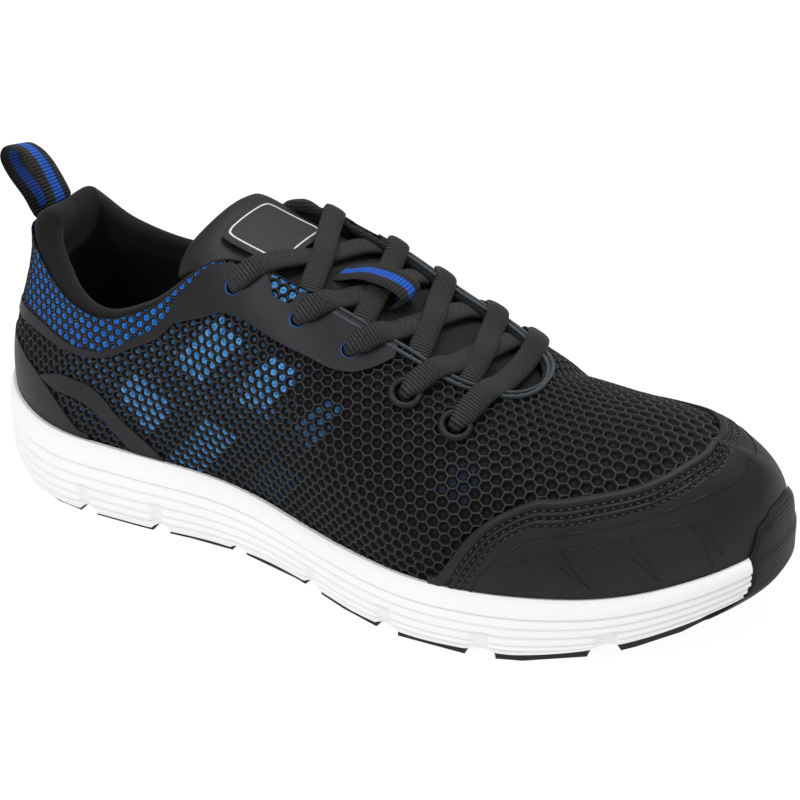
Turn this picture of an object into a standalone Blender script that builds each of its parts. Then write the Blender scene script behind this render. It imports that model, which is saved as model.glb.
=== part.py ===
"""Safety sneaker, a right shoe: ribbed midsole, lugged tread, hollow net upper and smooth overlays.

Metres, +Z up, +X towards the toe, +Y towards the inner side of the foot. The origin is on the floor,
under the middle of the heel's flat spot.
"""

from math import pi, radians

import bmesh
import bpy
import numpy as np
from mathutils import Vector

# Driving sizes of the shoe
LENGTH = 0.302  # sole, heel to toe
BALL = 0.110  # width that the outline's shares follow
INSTEP = 0.080  # footbed to the height that the collar's shares follow
SOLE_HEIGHT = 0.036  # floor to the top of the sole's side at the heel
HEEL_SEAT = 0.040  # heel's back to the middle of the heel's flat spot
GAP = 0.0004  # clearance where curved pieces meet
WALL = 0.0022  # upper
COLLAR_PAD = 0.0038  # padding that the collar adds to the wall
FEATHER = 0.004  # sole's outline to the upper's lower edge
LIP_GAP = 0.0009  # clearance between the sole's lip and the upper

# Sole
OUTSOLE = 0.003  # rubber under the midsole
OUTSOLE_INSET = 0.0014
LUG_DEPTH = 0.0019
CHANNEL = 0.010  # width of the long channel in the tread
FLARE = 0.0024  # how far the side swells out
RIB_DEPTH = 0.0009
RIBS = (0.14, 0.28, 0.42, 0.56)  # heights of the grooves between the side's ribs, as shares of the side
RIB_HALF = 0.07  # groove to the rib over it, as a share of the side
NOTCH_SLOPE = 0.0035  # run of a notch's side wall, as a share of the ring
NOTCH_DEPTH = 0.003
NOTCH_TOP = 0.46  # share of the side
BUMPER = 0.0032  # toe rubber
BUMPER_RECESS = 0.0016  # how far the midsole steps back under it
BUMPER_START = 0.905  # where the toe rubber starts, from heel to toe
BUMPER_SLANT = 0.28  # share of its reach that its top loses to the slanted ends
TOE_RISE = 0.012  # how far the toe rubber climbs over the top of the sole's side
INSOLE = 0.0045
SILL = 0.0014  # how far over the sole the overlays start
LEAST_HEIGHT = 0.02  # least height of an overlay, as a share of the upper's

# Overlays and small pieces
OVERLAY = 0.0011
TOE_CAP = 0.0014
CAP_GAP = 0.0006  # clearance under the toe cap
RING_RADIUS = 0.0047
RING_WIRE = 0.0011
EYELET_RADIUS = 0.0027
TONGUE = 0.0035  # lower part
TONGUE_TOP = 0.0085
BADGE_WIDTH = 0.035
BADGE_LENGTH = 0.026
BADGE = 0.0012
BADGE_PLACE = 0.376  # middle of the badge, as a share of LENGTH
SEAT_LIFT = 0.0005  # clearance of what lies on the tongue
WEBBING_WIDTH = 0.015
WEBBING = 0.0014
KEEPER_LENGTH = 0.022  # webbing strip on the tongue
KEEPER_PLACE = 0.503
KEEPER_ARCH = 0.0052  # how far it rises over the laces
LACE_WIDTH = 0.0076
LACE = 0.0026
LACE_START = 0.085  # how far from an eyelet's middle a run starts, as a share of the upper's height
LACE_REACH = 0.58  # how far over the tongue a run reaches, as a share of the throat's half width
LACE_CLEARANCE = 0.0009
LOOP_RISE = 0.0220  # pull loop above the collar's back
LOOP_BACK = 0.0168  # pull loop behind it
LOOP_TILT = 0.25  # how much lower its inner side hangs, for each unit of width


def smooth(x, y, s):
    """A smooth curve through the values y at the places x, read at the places s."""
    shape = (-1,) + (1,) * (y.ndim - 1)
    step = np.diff(x)
    rate = np.diff(y, axis=0) / step.reshape(shape)
    slope = np.concatenate([rate[:1], rate])
    before = step[:-1].reshape(shape)
    after = step[1:].reshape(shape)
    slope[1:-1] = (rate[:-1] * after + rate[1:] * before) / (before + after)
    s = np.clip(np.asarray(s, float), x[0], x[-1])
    i = np.clip(np.searchsorted(x, s, side="right") - 1, 0, len(x) - 2)
    more = s.shape + (1,) * (y.ndim - 1)
    u = ((s - x[i]) / step[i]).reshape(more)
    h = step[i].reshape(more)
    value = (1 + 2 * u) * (1 - u) ** 2 * y[i] + u * (1 - u) ** 2 * h * slope[i]
    return value + u * u * (3 - 2 * u) * y[i + 1] + u * u * (u - 1) * h * slope[i + 1]


class Table:
    """Rows under named columns, read between the rows as a smooth curve of the first column."""

    def __init__(self, names, *rows):
        self.names = names.split()
        self.rows = np.array(rows, float)

    def at(self, name, s):
        return smooth(self.rows[:, 0], self.rows[:, self.names.index(name)], s)


# Sole's outline: shares of LENGTH, of BALL and of BALL
OUTLINE = Table(
    "along half_width shift",
    (0.00, 0.370, 0.000),
    (0.14, 0.400, 0.000),
    (0.42, 0.365, -0.040),
    (0.68, 0.500, -0.055),
    (0.84, 0.475, 0.020),
    (1.00, 0.430, 0.140),
)
HEEL_ROUND = 0.18  # share of LENGTH that the heel's round end takes
TOE_ROUND = 0.26
HEEL_POWER = 2.1
TOE_POWER = 2.3

# Sole's side: shares of LENGTH and of SOLE_HEIGHT, and of FLARE. What runs below the floor is a flat spot.
SIDE = Table(
    "along tread footbed top flare",
    (0.00, 0.230, 0.778, 1.000, 1.00),
    (0.10, -0.010, 0.722, 0.889, 1.00),
    (0.24, -0.010, 0.694, 0.845, 0.90),
    (0.38, 0.050, 0.655, 0.810, 0.60),
    (0.50, 0.040, 0.556, 0.694, 0.50),
    (0.60, -0.010, 0.525, 0.690, 0.50),
    (0.76, -0.010, 0.500, 0.690, 0.55),
    (0.87, 0.125, 0.530, 0.715, 0.50),
    (1.00, 0.450, 0.667, 0.889, 0.30),
)

# Swell of the side between its bottom and its top
SWELL = Table(
    "height outset",
    (0.00, -0.60),
    (0.12, 0.50),
    (0.35, 1.00),
    (0.60, 1.00),
    (0.80, 0.60),
    (1.00, 0.00),
)

# Notches across the tread and up the side: place on the ring, and width as a share of LENGTH
NOTCHES = (
    (0.217, 0.013),
    (0.304, 0.013),
    (0.396, 0.010),
    (0.492, 0.015),
    (0.588, 0.018),
    (0.683, 0.022),
    (0.796, 0.024),
)

# Upper's edge: collar, throat and, from RIDGE_START on, the ridge over the toes.
# edge_x, gap, edge_z and middle are shares of LENGTH, BALL, INSTEP and BALL.
# fall and lean are degrees. rise and reach are shares of the column's chord.
RIDGE_START = 0.73
UPPER = Table(
    "place edge_x gap edge_z fall rise reach lean middle",
    (0.000, 0.060, 0.000, 0.905, 100, 0.45, 0.30, 8, 0.000),
    (0.055, 0.067, 0.150, 0.919, 95, 0.45, 0.30, 8, 0.000),
    (0.130, 0.120, 0.255, 0.744, 88, 0.45, 0.32, 8, 0.000),
    (0.220, 0.195, 0.325, 0.652, 78, 0.42, 0.33, 10, 0.000),
    (0.320, 0.270, 0.312, 0.746, 65, 0.42, 0.35, 12, 0.000),
    (0.410, 0.358, 0.250, 0.987, 50, 0.45, 0.35, 12, 0.000),
    (0.500, 0.460, 0.232, 0.933, 38, 0.45, 0.38, 12, 0.000),
    (0.600, 0.580, 0.205, 0.757, 30, 0.45, 0.40, 12, 0.000),
    (0.670, 0.668, 0.180, 0.629, 22, 0.45, 0.40, 12, 0.000),
    (0.705, 0.708, 0.105, 0.582, 12, 0.45, 0.40, 12, 0.005),
    (0.730, 0.722, 0.000, 0.565, 5, 0.45, 0.40, 12, 0.010),
    (0.800, 0.768, 0.000, 0.514, 0, 0.47, 0.42, 11, 0.020),
    (0.900, 0.845, 0.000, 0.467, 0, 0.48, 0.46, 8, 0.040),
    (1.000, 0.900, 0.000, 0.406, 0, 0.48, 0.48, 4, 0.060),
)

# Overlays: lower and upper border on the upper, from 0 at the sole to 1 at the edge, along the ring
CAP_BORDER = Table(
    "place high",
    (0.640, 0.050),
    (0.654, 0.200),
    (0.679, 0.350),
    (0.717, 0.420),
    (0.796, 0.500),
    (0.854, 0.600),
    (0.917, 0.760),
    (1.000, 0.930),
)
COUNTER_BORDER = Table(
    "place high",
    (0.000, 0.330),
    (0.090, 0.305),
    (0.140, 0.310),
    (0.160, 0.285),
    (0.188, 0.217),
    (0.212, 0.110),
    (0.222, 0.040),
)
STRAP_BORDER = Table(
    "place low high",
    (0.150, 0.335, 0.352),
    (0.179, 0.335, 0.450),
    (0.208, 0.348, 0.480),
    (0.226, 0.325, 0.480),
    (0.246, 0.245, 0.417),
    (0.263, 0.150, 0.310),
    (0.279, 0.060, 0.235),
    (0.300, 0.000, 0.140),
    (0.312, 0.000, 0.070),
)
STRIP_BORDER = Table(
    "place low high",
    (0.000, 0.400, 0.460),
    (0.060, 0.440, 0.510),
    (0.133, 0.575, 0.650),
    (0.196, 0.650, 0.705),
    (0.246, 0.705, 0.757),
    (0.287, 0.770, 0.820),
    (0.333, 0.800, 0.865),
    (0.350, 0.815, 0.875),
)
STAY_BORDER = Table(
    "place low high",
    (0.356, 0.820, 0.900),
    (0.371, 0.805, 0.945),
    (0.390, 0.785, 0.975),
    (0.412, 0.790, 0.985),
    (0.438, 0.785, 0.985),
    (0.471, 0.767, 0.985),
    (0.517, 0.762, 0.985),
    (0.546, 0.768, 0.985),
    (0.565, 0.800, 0.985),
    (0.583, 0.862, 0.985),
    (0.598, 0.935, 0.985),
)

# Eyelets from the top pair to the front pair: place on the ring and height on the upper
EYELETS = ((0.429, 0.900), (0.504, 0.883), (0.558, 0.872), (0.613, 0.822), (0.658, 0.785))
STAY_EYELETS = 3  # how many pairs are in the eyestays

# Tongue beside the throat: how far its middle lies from the edges' level, as a share of INSTEP
TONGUE_MIDDLE = Table(
    "place drop pad",
    (0.430, -0.004, 0.70),
    (0.457, -0.020, 0.45),
    (0.500, -0.056, 0.15),
    (0.550, -0.040, 0.00),
    (0.600, -0.026, 0.00),
    (0.650, -0.030, 0.00),
    (0.700, -0.045, 0.00),
    (0.716, -0.055, 0.00),
)
TUCK = 0.87  # height on the upper that the tongue's sides reach under it
TONGUE_LANES = np.array([-1, -0.88, -0.44, 0, 0.44, 0.88, 1])  # places across it
# Its free top: shares of LENGTH, INSTEP, BALL and INSTEP, and of the padding
TONGUE_END = Table(
    "step middle_x middle_z half_width side_drop pad",
    (0, 0.3015, 1.090, 0.225, 0.105, 1.00),
    (1, 0.3150, 1.085, 0.236, 0.112, 1.00),
    (2, 0.3360, 1.045, 0.240, 0.115, 1.00),
    (3, 0.3620, 1.000, 0.243, 0.110, 0.85),
)

# Pull loop seen from the side: shares of LOOP_BACK and of LOOP_RISE from the collar's back edge
LOOP = Table(
    "step back rise",
    (0, 0.00, 0.075),
    (1, 0.19, -0.170),
    (2, 0.46, 0.150),
    (3, 0.82, 0.480),
    (4, 1.00, 0.740),
    (5, 0.92, 0.920),
    (6, 0.68, 1.000),
    (7, 0.44, 0.930),
    (8, 0.20, 0.730),
    (9, 0.02, 0.470),
    (10, -0.12, 0.230),
    (11, -0.15, 0.090),
)

UP = np.array([0.0, 0.0, 1.0])


def ease(x, start, end):
    """0 before start, 1 after end and a soft rise between them."""
    u = np.clip((np.asarray(x, float) - start) / (end - start), 0, 1)
    return u * u * (3 - 2 * u)


def round_end(s):
    """Share of the half width that is left along the heel's and the toe's round ends."""
    heel = np.clip(1 - s / HEEL_ROUND, 0, 1)
    toe = np.clip(1 - (1 - s) / TOE_ROUND, 0, 1)
    return (1 - heel**HEEL_POWER) ** (1 / HEEL_POWER) * (1 - toe**TOE_POWER) ** (1 / TOE_POWER)


def half_outline(sign, steps=500):
    """One side of the sole's outline: shares of its arc, points and outward directions."""
    s = (1 - np.cos(np.linspace(0, pi, steps))) / 2
    half = OUTLINE.at("half_width", s) * round_end(s) * BALL
    points = np.stack([s * LENGTH - HEEL_SEAT, OUTLINE.at("shift", s) * BALL + sign * half], 1)
    arc = np.concatenate([[0], np.cumsum(np.hypot(*np.diff(points, axis=0).T))])
    tangent = np.gradient(points, axis=0)
    tangent[0] = (0, sign)
    tangent[-1] = (0, -sign)
    tangent /= np.linalg.norm(tangent, axis=1)[:, None]
    outward = np.stack([-tangent[:, 1], tangent[:, 0]], 1) * sign
    return arc / arc[-1], points, outward


HALVES = (half_outline(-1), half_outline(1))


def side_of(w):
    """Ring place 0 to 1 is the outer side, heel to toe, and 1 to 2 is the inner side, back to the heel."""
    w = np.mod(np.asarray(w, float), 2)
    return np.where(w > 1, 2 - w, w), w > 1


def outline(w, outset=0.0):
    """Points and outward directions of the sole's outline."""
    t, inner = side_of(w)
    found = []
    for arc, points, outward in HALVES:
        row = [np.interp(t, arc, column) for column in (*points.T, *outward.T)]
        found.append(np.stack(row, -1))
    row = np.where(inner[..., None], found[1], found[0])
    direction = row[..., 2:] / np.linalg.norm(row[..., 2:], axis=-1, keepdims=True)
    return row[..., :2] + direction * np.asarray(outset)[..., None], direction


def side_height(name, x):
    """Height of the tread, the footbed or the side's top over the floor."""
    share = SIDE.at(name, (x + HEEL_SEAT) / LENGTH)
    return np.maximum(share, 0) * SOLE_HEIGHT


def edge(w):
    """The upper's edge: the collar, the throat and the ridge."""
    t, inner = side_of(w)
    sign = np.where(inner, 1, -1)
    x = UPPER.at("edge_x", t) * LENGTH - HEEL_SEAT
    gap = np.where(t < RIDGE_START, np.maximum(UPPER.at("gap", t), 0), 0)
    y = (UPPER.at("middle", t) + sign * gap) * BALL
    z = SIDE.at("footbed", 0) * SOLE_HEIGHT + UPPER.at("edge_z", t) * INSTEP
    return np.stack([x, y, z], -1)


def column(w, v):
    """The upper's outer face: w along the ring, v from 0 at the sole to 1 at the edge."""
    w, v = np.broadcast_arrays(w, v)
    t, _ = side_of(w)
    foot, direction = outline(w, -FEATHER)
    start = np.concatenate([foot, side_height("footbed", foot[..., 0])[..., None]], -1)
    end = edge(w)
    out = np.concatenate([direction, np.zeros_like(direction[..., :1])], -1)
    chord = np.linalg.norm(end - start, axis=-1)[..., None]
    lean = np.radians(UPPER.at("lean", t))[..., None]
    fall = np.radians(UPPER.at("fall", t))[..., None]
    low = start + UPPER.at("rise", t)[..., None] * chord * (UP * np.cos(lean) + out * np.sin(lean))
    level = (start - end) * (1, 1, 0)
    level /= np.maximum(np.linalg.norm(level, axis=-1, keepdims=True), 1e-9)
    level = level + out
    level /= np.linalg.norm(level, axis=-1, keepdims=True)
    high = end + UPPER.at("reach", t)[..., None] * chord * (level * np.cos(fall) - UP * np.sin(fall))
    # Over the toes the face leaves the ridge along the ridge's own slope, so that both sides meet smoothly
    step = 0.004
    ahead = edge(np.minimum(t + step, 1))
    behind = edge(np.maximum(t - step, 0))
    slope = (ahead[..., 2] - behind[..., 2]) / np.maximum(ahead[..., 0] - behind[..., 0], 1e-6)
    share = ease(t, RIDGE_START - 0.05, RIDGE_START + 0.03)
    high[..., 2] += share * slope * (high[..., 0] - end[..., 0])
    v = v[..., None]
    return (1 - v) ** 3 * start + 3 * v * (1 - v) ** 2 * low + 3 * v * v * (1 - v) * high + v**3 * end


def skin(w, v, lift=0.0):
    """Points of the upper's outer face, lifted off it along its normal."""
    w, v = np.broadcast_arrays(np.asarray(w, float), np.asarray(v, float))
    here = column(w, v)
    if np.all(np.asarray(lift) == 0):
        return here
    step = 0.002
    along = column(w + step, v) - column(w - step, v)
    across = column(w, np.minimum(v + step, 1)) - column(w, np.maximum(v - step, 0))
    normal = np.cross(along, across)
    normal /= np.linalg.norm(normal, axis=-1, keepdims=True)
    return here + normal * np.asarray(lift)[..., None]


def height_on(w, z):
    """The share v at which each column of the upper passes the height z."""
    low = np.zeros_like(z)
    high = np.full_like(z, 0.6)
    for _ in range(24):
        middle = (low + high) / 2
        below = column(w, middle)[..., 2] < z
        low = np.where(below, middle, low)
        high = np.where(below, high, middle)
    return (low + high) / 2


def sill(w, over):
    """The share v at which the upper clears the top of the sole's side."""
    foot, _ = outline(w, -FEATHER)
    return height_on(w, side_height("top", foot[..., 0]) + over)


def padding(w, v):
    """Share of the collar's padding in the wall."""
    t, _ = side_of(w)
    return (1 - ease(t, 0.33, 0.41)) * ease(v, 0.62, 0.92)


# Scene, collections and helpers

for item in list(bpy.data.objects):
    bpy.data.objects.remove(item)

SHOE = bpy.data.collections.new("safety_sneaker")
CUTTERS = bpy.data.collections.new("cutters")
for collection in (SHOE, CUTTERS):
    bpy.context.scene.collection.children.link(collection)
CUTTERS.hide_render = True


def material(name, color, roughness, metallic=0.0):
    made = bpy.data.materials.new(name)
    made.use_nodes = True
    shader = made.node_tree.nodes["Principled BSDF"]
    shader.inputs["Base Color"].default_value = (*color, 1)
    shader.inputs["Roughness"].default_value = roughness
    shader.inputs["Metallic"].default_value = metallic
    return made


def tube_faces(lanes, count):
    """Faces around a flat tube with closed ends, whose lanes run side by side over it and back under it."""
    faces = []
    for k in range(lanes):
        for i in range(count - 1):
            a = k * count + i
            b = (k + 1) % lanes * count + i
            faces.append((a, a + 1, b + 1, b))
    for end in (0, count - 1):
        for k in range(lanes // 2 - 1):
            other = lanes - 1 - k
            faces.append(tuple(lane * count + end for lane in (k, k + 1, other - 1, other)))
    return faces


def add_mesh(name, points, faces, finish=None, closed=True, collection=SHOE):
    """An object from points and faces, with coinciding points merged."""
    mesh = bpy.data.meshes.new(name)
    mesh.from_pydata([tuple(map(float, p)) for p in points], [], faces)
    shape = bmesh.new()
    shape.from_mesh(mesh)
    bmesh.ops.remove_doubles(shape, verts=shape.verts, dist=1e-6)
    if closed:
        bmesh.ops.recalc_face_normals(shape, faces=shape.faces)
    shape.to_mesh(mesh)
    shape.free()
    if finish:
        mesh.materials.append(finish)
        mesh.shade_smooth()
        mesh.set_sharp_from_angle(angle=radians(40))
    made = bpy.data.objects.new(name, mesh)
    collection.objects.link(made)
    return made


def grid_faces(rows, columns, wrapped=False):
    """Faces of a grid of points, row by row. A wrapped grid joins its last row to its first."""
    faces = []
    for i in range(rows if wrapped else rows - 1):
        for j in range(columns - 1):
            a = i * columns + j
            b = (i + 1) % rows * columns + j
            faces.append((a, b, b + 1, a + 1))
    return faces


def thicken(obj, thickness, outward, weights=None):
    """Gives an open face its wall. weights are shares of the thickness, one for each point of the mesh."""
    wall = obj.modifiers.new("wall", "SOLIDIFY")
    wall.thickness = thickness
    wall.offset = 1 if outward else -1
    wall.use_even_offset = True
    wall.use_quality_normals = True
    if weights is None:
        return
    group = obj.vertex_groups.new(name="thickness")
    for index, weight in enumerate(weights):
        group.add([index], float(weight), "REPLACE")
    wall.vertex_group = group.name


def ring_places(places):
    """Both sides' places on the ring, from the places of one side."""
    return np.concatenate([places, 2 - places[-2:0:-1]])


def ladder(first, count):
    """Faces that close a ring of points by rungs between its two sides."""
    half = count // 2
    faces = []
    for i in range(half):
        rung = [i, i + 1, (count - i - 1) % count, (count - i) % count]
        unique = list(dict.fromkeys(rung))
        faces.append(tuple(first + k for k in unique))
    return faces


def loft(name, rings, finish):
    """A closed solid from rings of points around the shoe, closed by a ladder at both ends."""
    count = len(rings[0])
    points = np.concatenate(rings)
    faces = []
    for k in range(len(rings) - 1):
        for i in range(count):
            a = k * count + i
            b = k * count + (i + 1) % count
            faces.append((a, b, b + count, a + count))
    faces += ladder(0, count)
    faces += ladder((len(rings) - 1) * count, count)
    return add_mesh(name, points, faces, finish)


def patch(name, w, low, high, rows, thickness, finish, lift=GAP):
    """An overlay on the upper between two borders, one column of points for each place in w."""
    share = np.linspace(0, 1, rows)[None, :]
    v = low[:, None] * (1 - share) + high[:, None] * share
    points = skin(w[:, None] + 0 * v, v, lift + 0 * v)
    made = add_mesh(name, points.reshape(-1, 3), grid_faces(len(w), rows), finish, closed=False)
    thicken(made, thickness, outward=True)
    return made


def mirrored(w):
    """The same places on the inner side, still in heel to toe order seen from outside."""
    return np.sort(2 - w)


def sweep(name, path, ups, width, height, finish=None, collection=SHOE):
    """A flat cord: a rounded oblong carried along a path, with its flat side square to ups."""
    path = np.asarray(path)
    tangent = np.gradient(path, axis=0)
    side = np.cross(ups, tangent)
    side /= np.linalg.norm(side, axis=1)[:, None]
    over = np.cross(tangent, side)
    over /= np.linalg.norm(over, axis=1)[:, None]
    corners = ((-0.5, 0), (-0.32, 0.5), (0.32, 0.5), (0.5, 0), (0.32, -0.5), (-0.32, -0.5))
    count = len(corners)
    rows = [path + side * a * width + over * b * height for a, b in corners]
    points = np.stack(rows, 1).reshape(-1, 3)
    faces = []
    for i in range(len(path) - 1):
        for j in range(count):
            a = i * count + j
            b = i * count + (j + 1) % count
            faces.append((a, b, b + count, a + count))
    last = (len(path) - 1) * count
    faces.append(tuple(range(count)))
    faces.append(tuple(range(last, last + count)))
    return add_mesh(name, points, faces, finish, collection=collection)


WHITE_FOAM = material("white_foam", (0.85, 0.85, 0.85), 0.6)
BLACK_RUBBER = material("black_rubber", (0.018, 0.018, 0.02), 0.7)
NET = material("net", (0.02, 0.02, 0.022), 0.85)
FILM = material("smooth_film", (0.035, 0.035, 0.038), 0.55)
SOFT_LINING = material("lining", (0.015, 0.015, 0.016), 0.9)
TONGUE_SKIN = material("tongue_skin", (0.022, 0.022, 0.024), 0.6)
LACE_CLOTH = material("lace_cloth", (0.012, 0.012, 0.013), 0.8)
WEBBING_CLOTH = material("webbing", (0.015, 0.03, 0.09), 0.75)
BADGE_FINISH = material("badge", (0.03, 0.03, 0.032), 0.5)


# Sole


def spread_places(count, start=0.0, end=1.0):
    """Places from heel to toe that lie closer together at the round ends."""
    u = np.linspace(0, 1, count)
    t = u - 0.4 * np.sin(2 * pi * u) / (2 * pi)
    return t[(t >= start) & (t <= end)]


def sole_places():
    """Places of one side, with four close ones at each notch."""
    places = []
    for place, width in NOTCHES:
        half = width / 2
        places += [place - half - NOTCH_SLOPE, place - half, place + half, place + half + NOTCH_SLOPE]
    for place in spread_places(22):
        if min(abs(place - other) for other in places) > 2 * NOTCH_SLOPE:
            places.append(place)
    return np.sort(places)


def notch_share(w):
    """1 in the middle of a notch and 0 away from it."""
    t, _ = side_of(w)
    share = np.zeros_like(t)
    for place, width in NOTCHES:
        share = np.where(abs(t - place) <= width / 2 + 1e-6, 1.0, share)
    return share


def under_bumper(w):
    """1 where the toe rubber covers the side."""
    t, _ = side_of(w)
    return ease(t, BUMPER_START - 0.004, BUMPER_START + 0.002)


def midsole():
    w = ring_places(sole_places())
    heights = [0.0, RIBS[0] - RIB_HALF]
    for rib in RIBS:
        heights += [rib, rib + RIB_HALF]
    heights += [0.82, 1.0]
    rings = []
    base, _ = outline(w)
    bottom = side_height("tread", base[:, 0]) + OUTSOLE + GAP
    top = side_height("top", base[:, 0])
    flare = SIDE.at("flare", (base[:, 0] + HEEL_SEAT) / LENGTH) * FLARE
    covered = under_bumper(w)
    for height in heights:
        outset = SWELL.at("outset", height) * flare * (1 - covered) - BUMPER_RECESS * covered
        if height in RIBS:
            outset = outset - RIB_DEPTH * (1 - covered)
        if height < NOTCH_TOP:
            outset = outset - NOTCH_DEPTH * notch_share(w)
        place, _ = outline(w, outset)
        rings.append(np.column_stack([place, bottom + (top - bottom) * height]))
    lip = skin(w, sill(w, 0.0), LIP_GAP)
    rings.append(np.column_stack([lip[:, :2], top - 0.0003]))
    floor = side_height("footbed", outline(w, -FEATHER)[0][:, 0]) - GAP
    seat = skin(w, 0 * w, LIP_GAP)
    rings.append(np.column_stack([seat[:, :2], floor]))
    return loft("midsole", rings, WHITE_FOAM)


def outsole():
    """A tread plate with lugs between the cross notches and beside one long channel."""
    places = sole_places()
    edges = []
    for w in (places, 2 - places):
        base, _ = outline(w)
        toe_in = BUMPER_RECESS * under_bumper(w)
        edges.append(outline(w, -OUTSOLE_INSET - toe_in - NOTCH_DEPTH * notch_share(w))[0])
    low, high = edges
    width = np.maximum(np.linalg.norm(high - low, axis=1), 1e-6)
    half = np.minimum(CHANNEL / 2 / width, 0.12)
    slope = 0.03
    shares = [0 * half, 0.5 - half - slope, 0.5 - half, 0.5 + half, 0.5 + half + slope, 0 * half + 1]
    along = (low[:, 0] + HEEL_SEAT) / LENGTH
    channel = ease(along, 0.30, 0.33) * (1 - ease(along, 0.93, 0.96))
    rows = {"bottom": [], "top": []}
    for k, share in enumerate(shares):
        place = low * (1 - share[:, None]) + high * share[:, None]
        floor = side_height("tread", place[:, 0])
        cut = np.maximum(notch_share(places), channel if k in (2, 3) else 0)
        rows["bottom"].append(np.column_stack([place, floor + LUG_DEPTH * cut]))
        rows["top"].append(np.column_stack([place, floor + OUTSOLE]))
    lanes = rows["bottom"] + rows["top"][::-1]
    return add_mesh("outsole", np.concatenate(lanes), tube_faces(len(lanes), len(places)), BLACK_RUBBER)


def toe_bumper():
    """Rubber that turns up over the toe, with a slanted end on each side and ribs across its face."""
    count = 15
    spread = np.linspace(-1, 1, count)
    rows = 7
    inside = []
    outside = []
    for j in range(rows):
        share = j / (rows - 1)
        w = 1 + spread * (1 - BUMPER_START - 0.006) * (1 - BUMPER_SLANT * share)
        foot, _ = outline(w)
        low = side_height("tread", foot[:, 0]) + OUTSOLE * 0.35
        wall_top = side_height("top", foot[:, 0])
        crest = wall_top + TOE_RISE * (1 - ease(abs(spread), 0.25, 0.95)) + GAP
        z = low + (crest - low) * share
        beside_sole, direction = outline(w, GAP - BUMPER_RECESS)
        over_cap = skin(w, height_on(w, z), 1.5 * GAP + CAP_GAP + TOE_CAP)[:, :2]
        above = ease(z, wall_top - 0.002, wall_top + 0.001)[:, None]
        inner = np.column_stack([beside_sole * (1 - above) + over_cap * above, z])
        rib = 0.82 + 0.18 * (j % 2)
        thickness = BUMPER * rib * (1 - 0.45 * share)
        inside.append(inner)
        outside.append(inner + np.column_stack([direction, 0 * z]) * thickness)
    lanes = outside + inside[::-1]
    return add_mesh("toe_bumper", np.concatenate(lanes), tube_faces(len(lanes), count), BLACK_RUBBER)


def insole():
    w = ring_places(spread_places(19))
    inset = FEATHER + WALL + 2 * GAP
    rings = []
    for more, height in ((0.0012, 0.0), (0.0, 0.35), (0.0004, 1.0), (0.0045, 0.72)):
        place, _ = outline(w, -inset - more)
        floor = side_height("footbed", place[:, 0])
        rings.append(np.column_stack([place, floor + INSOLE * height]))
    return loft("insole", rings, SOFT_LINING)


# Upper and its overlays


def upper():
    half = np.unique(np.append(spread_places(31), RIDGE_START))
    w = ring_places(half)
    v = np.array([0, 0.14, 0.30, 0.46, 0.62, 0.77, 0.89, 1.0])
    points = skin(w[:, None], v[None, :])
    faces = grid_faces(len(w), len(v), wrapped=True)
    made = add_mesh("upper", points.reshape(-1, 3), faces, NET, closed=False)
    pads = padding(w[:, None] + 0 * points[..., 0], v[None, :] + 0 * points[..., 0]).reshape(-1)
    flat = points.reshape(-1, 3)
    weights = []
    for vertex in made.data.vertices:
        nearest = np.argmin(((flat - np.array(vertex.co)) ** 2).sum(1))
        weights.append((WALL + COLLAR_PAD * pads[nearest]) / (WALL + COLLAR_PAD))
    thicken(made, WALL + COLLAR_PAD, outward=False, weights=weights)
    return made


def eyelet_cutter(name, place, height):
    """A short rod through the wall, along the upper's normal."""
    middle = skin(place, height)
    top = skin(place, height, 0.006)
    rod = bmesh.new()
    depth = 0.013
    bmesh.ops.create_cone(
        rod, cap_ends=True, segments=10, radius1=EYELET_RADIUS, radius2=EYELET_RADIUS, depth=depth
    )
    mesh = bpy.data.meshes.new(name)
    rod.to_mesh(mesh)
    rod.free()
    made = bpy.data.objects.new(name, mesh)
    CUTTERS.objects.link(made)
    made.location = middle
    made.rotation_mode = "QUATERNION"
    made.rotation_quaternion = turn_to(top - middle)
    made.display_type = "WIRE"
    made.hide_render = True
    return made


def turn_to(direction):
    """The turn that takes +Z to a direction."""
    return Vector(direction).to_track_quat("Z", "Y")


def cut(obj, cutters):
    for cutter in cutters:
        hole = obj.modifiers.new("eyelet", "BOOLEAN")
        hole.operation = "DIFFERENCE"
        hole.object = cutter
        hole.solver = "EXACT"


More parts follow.
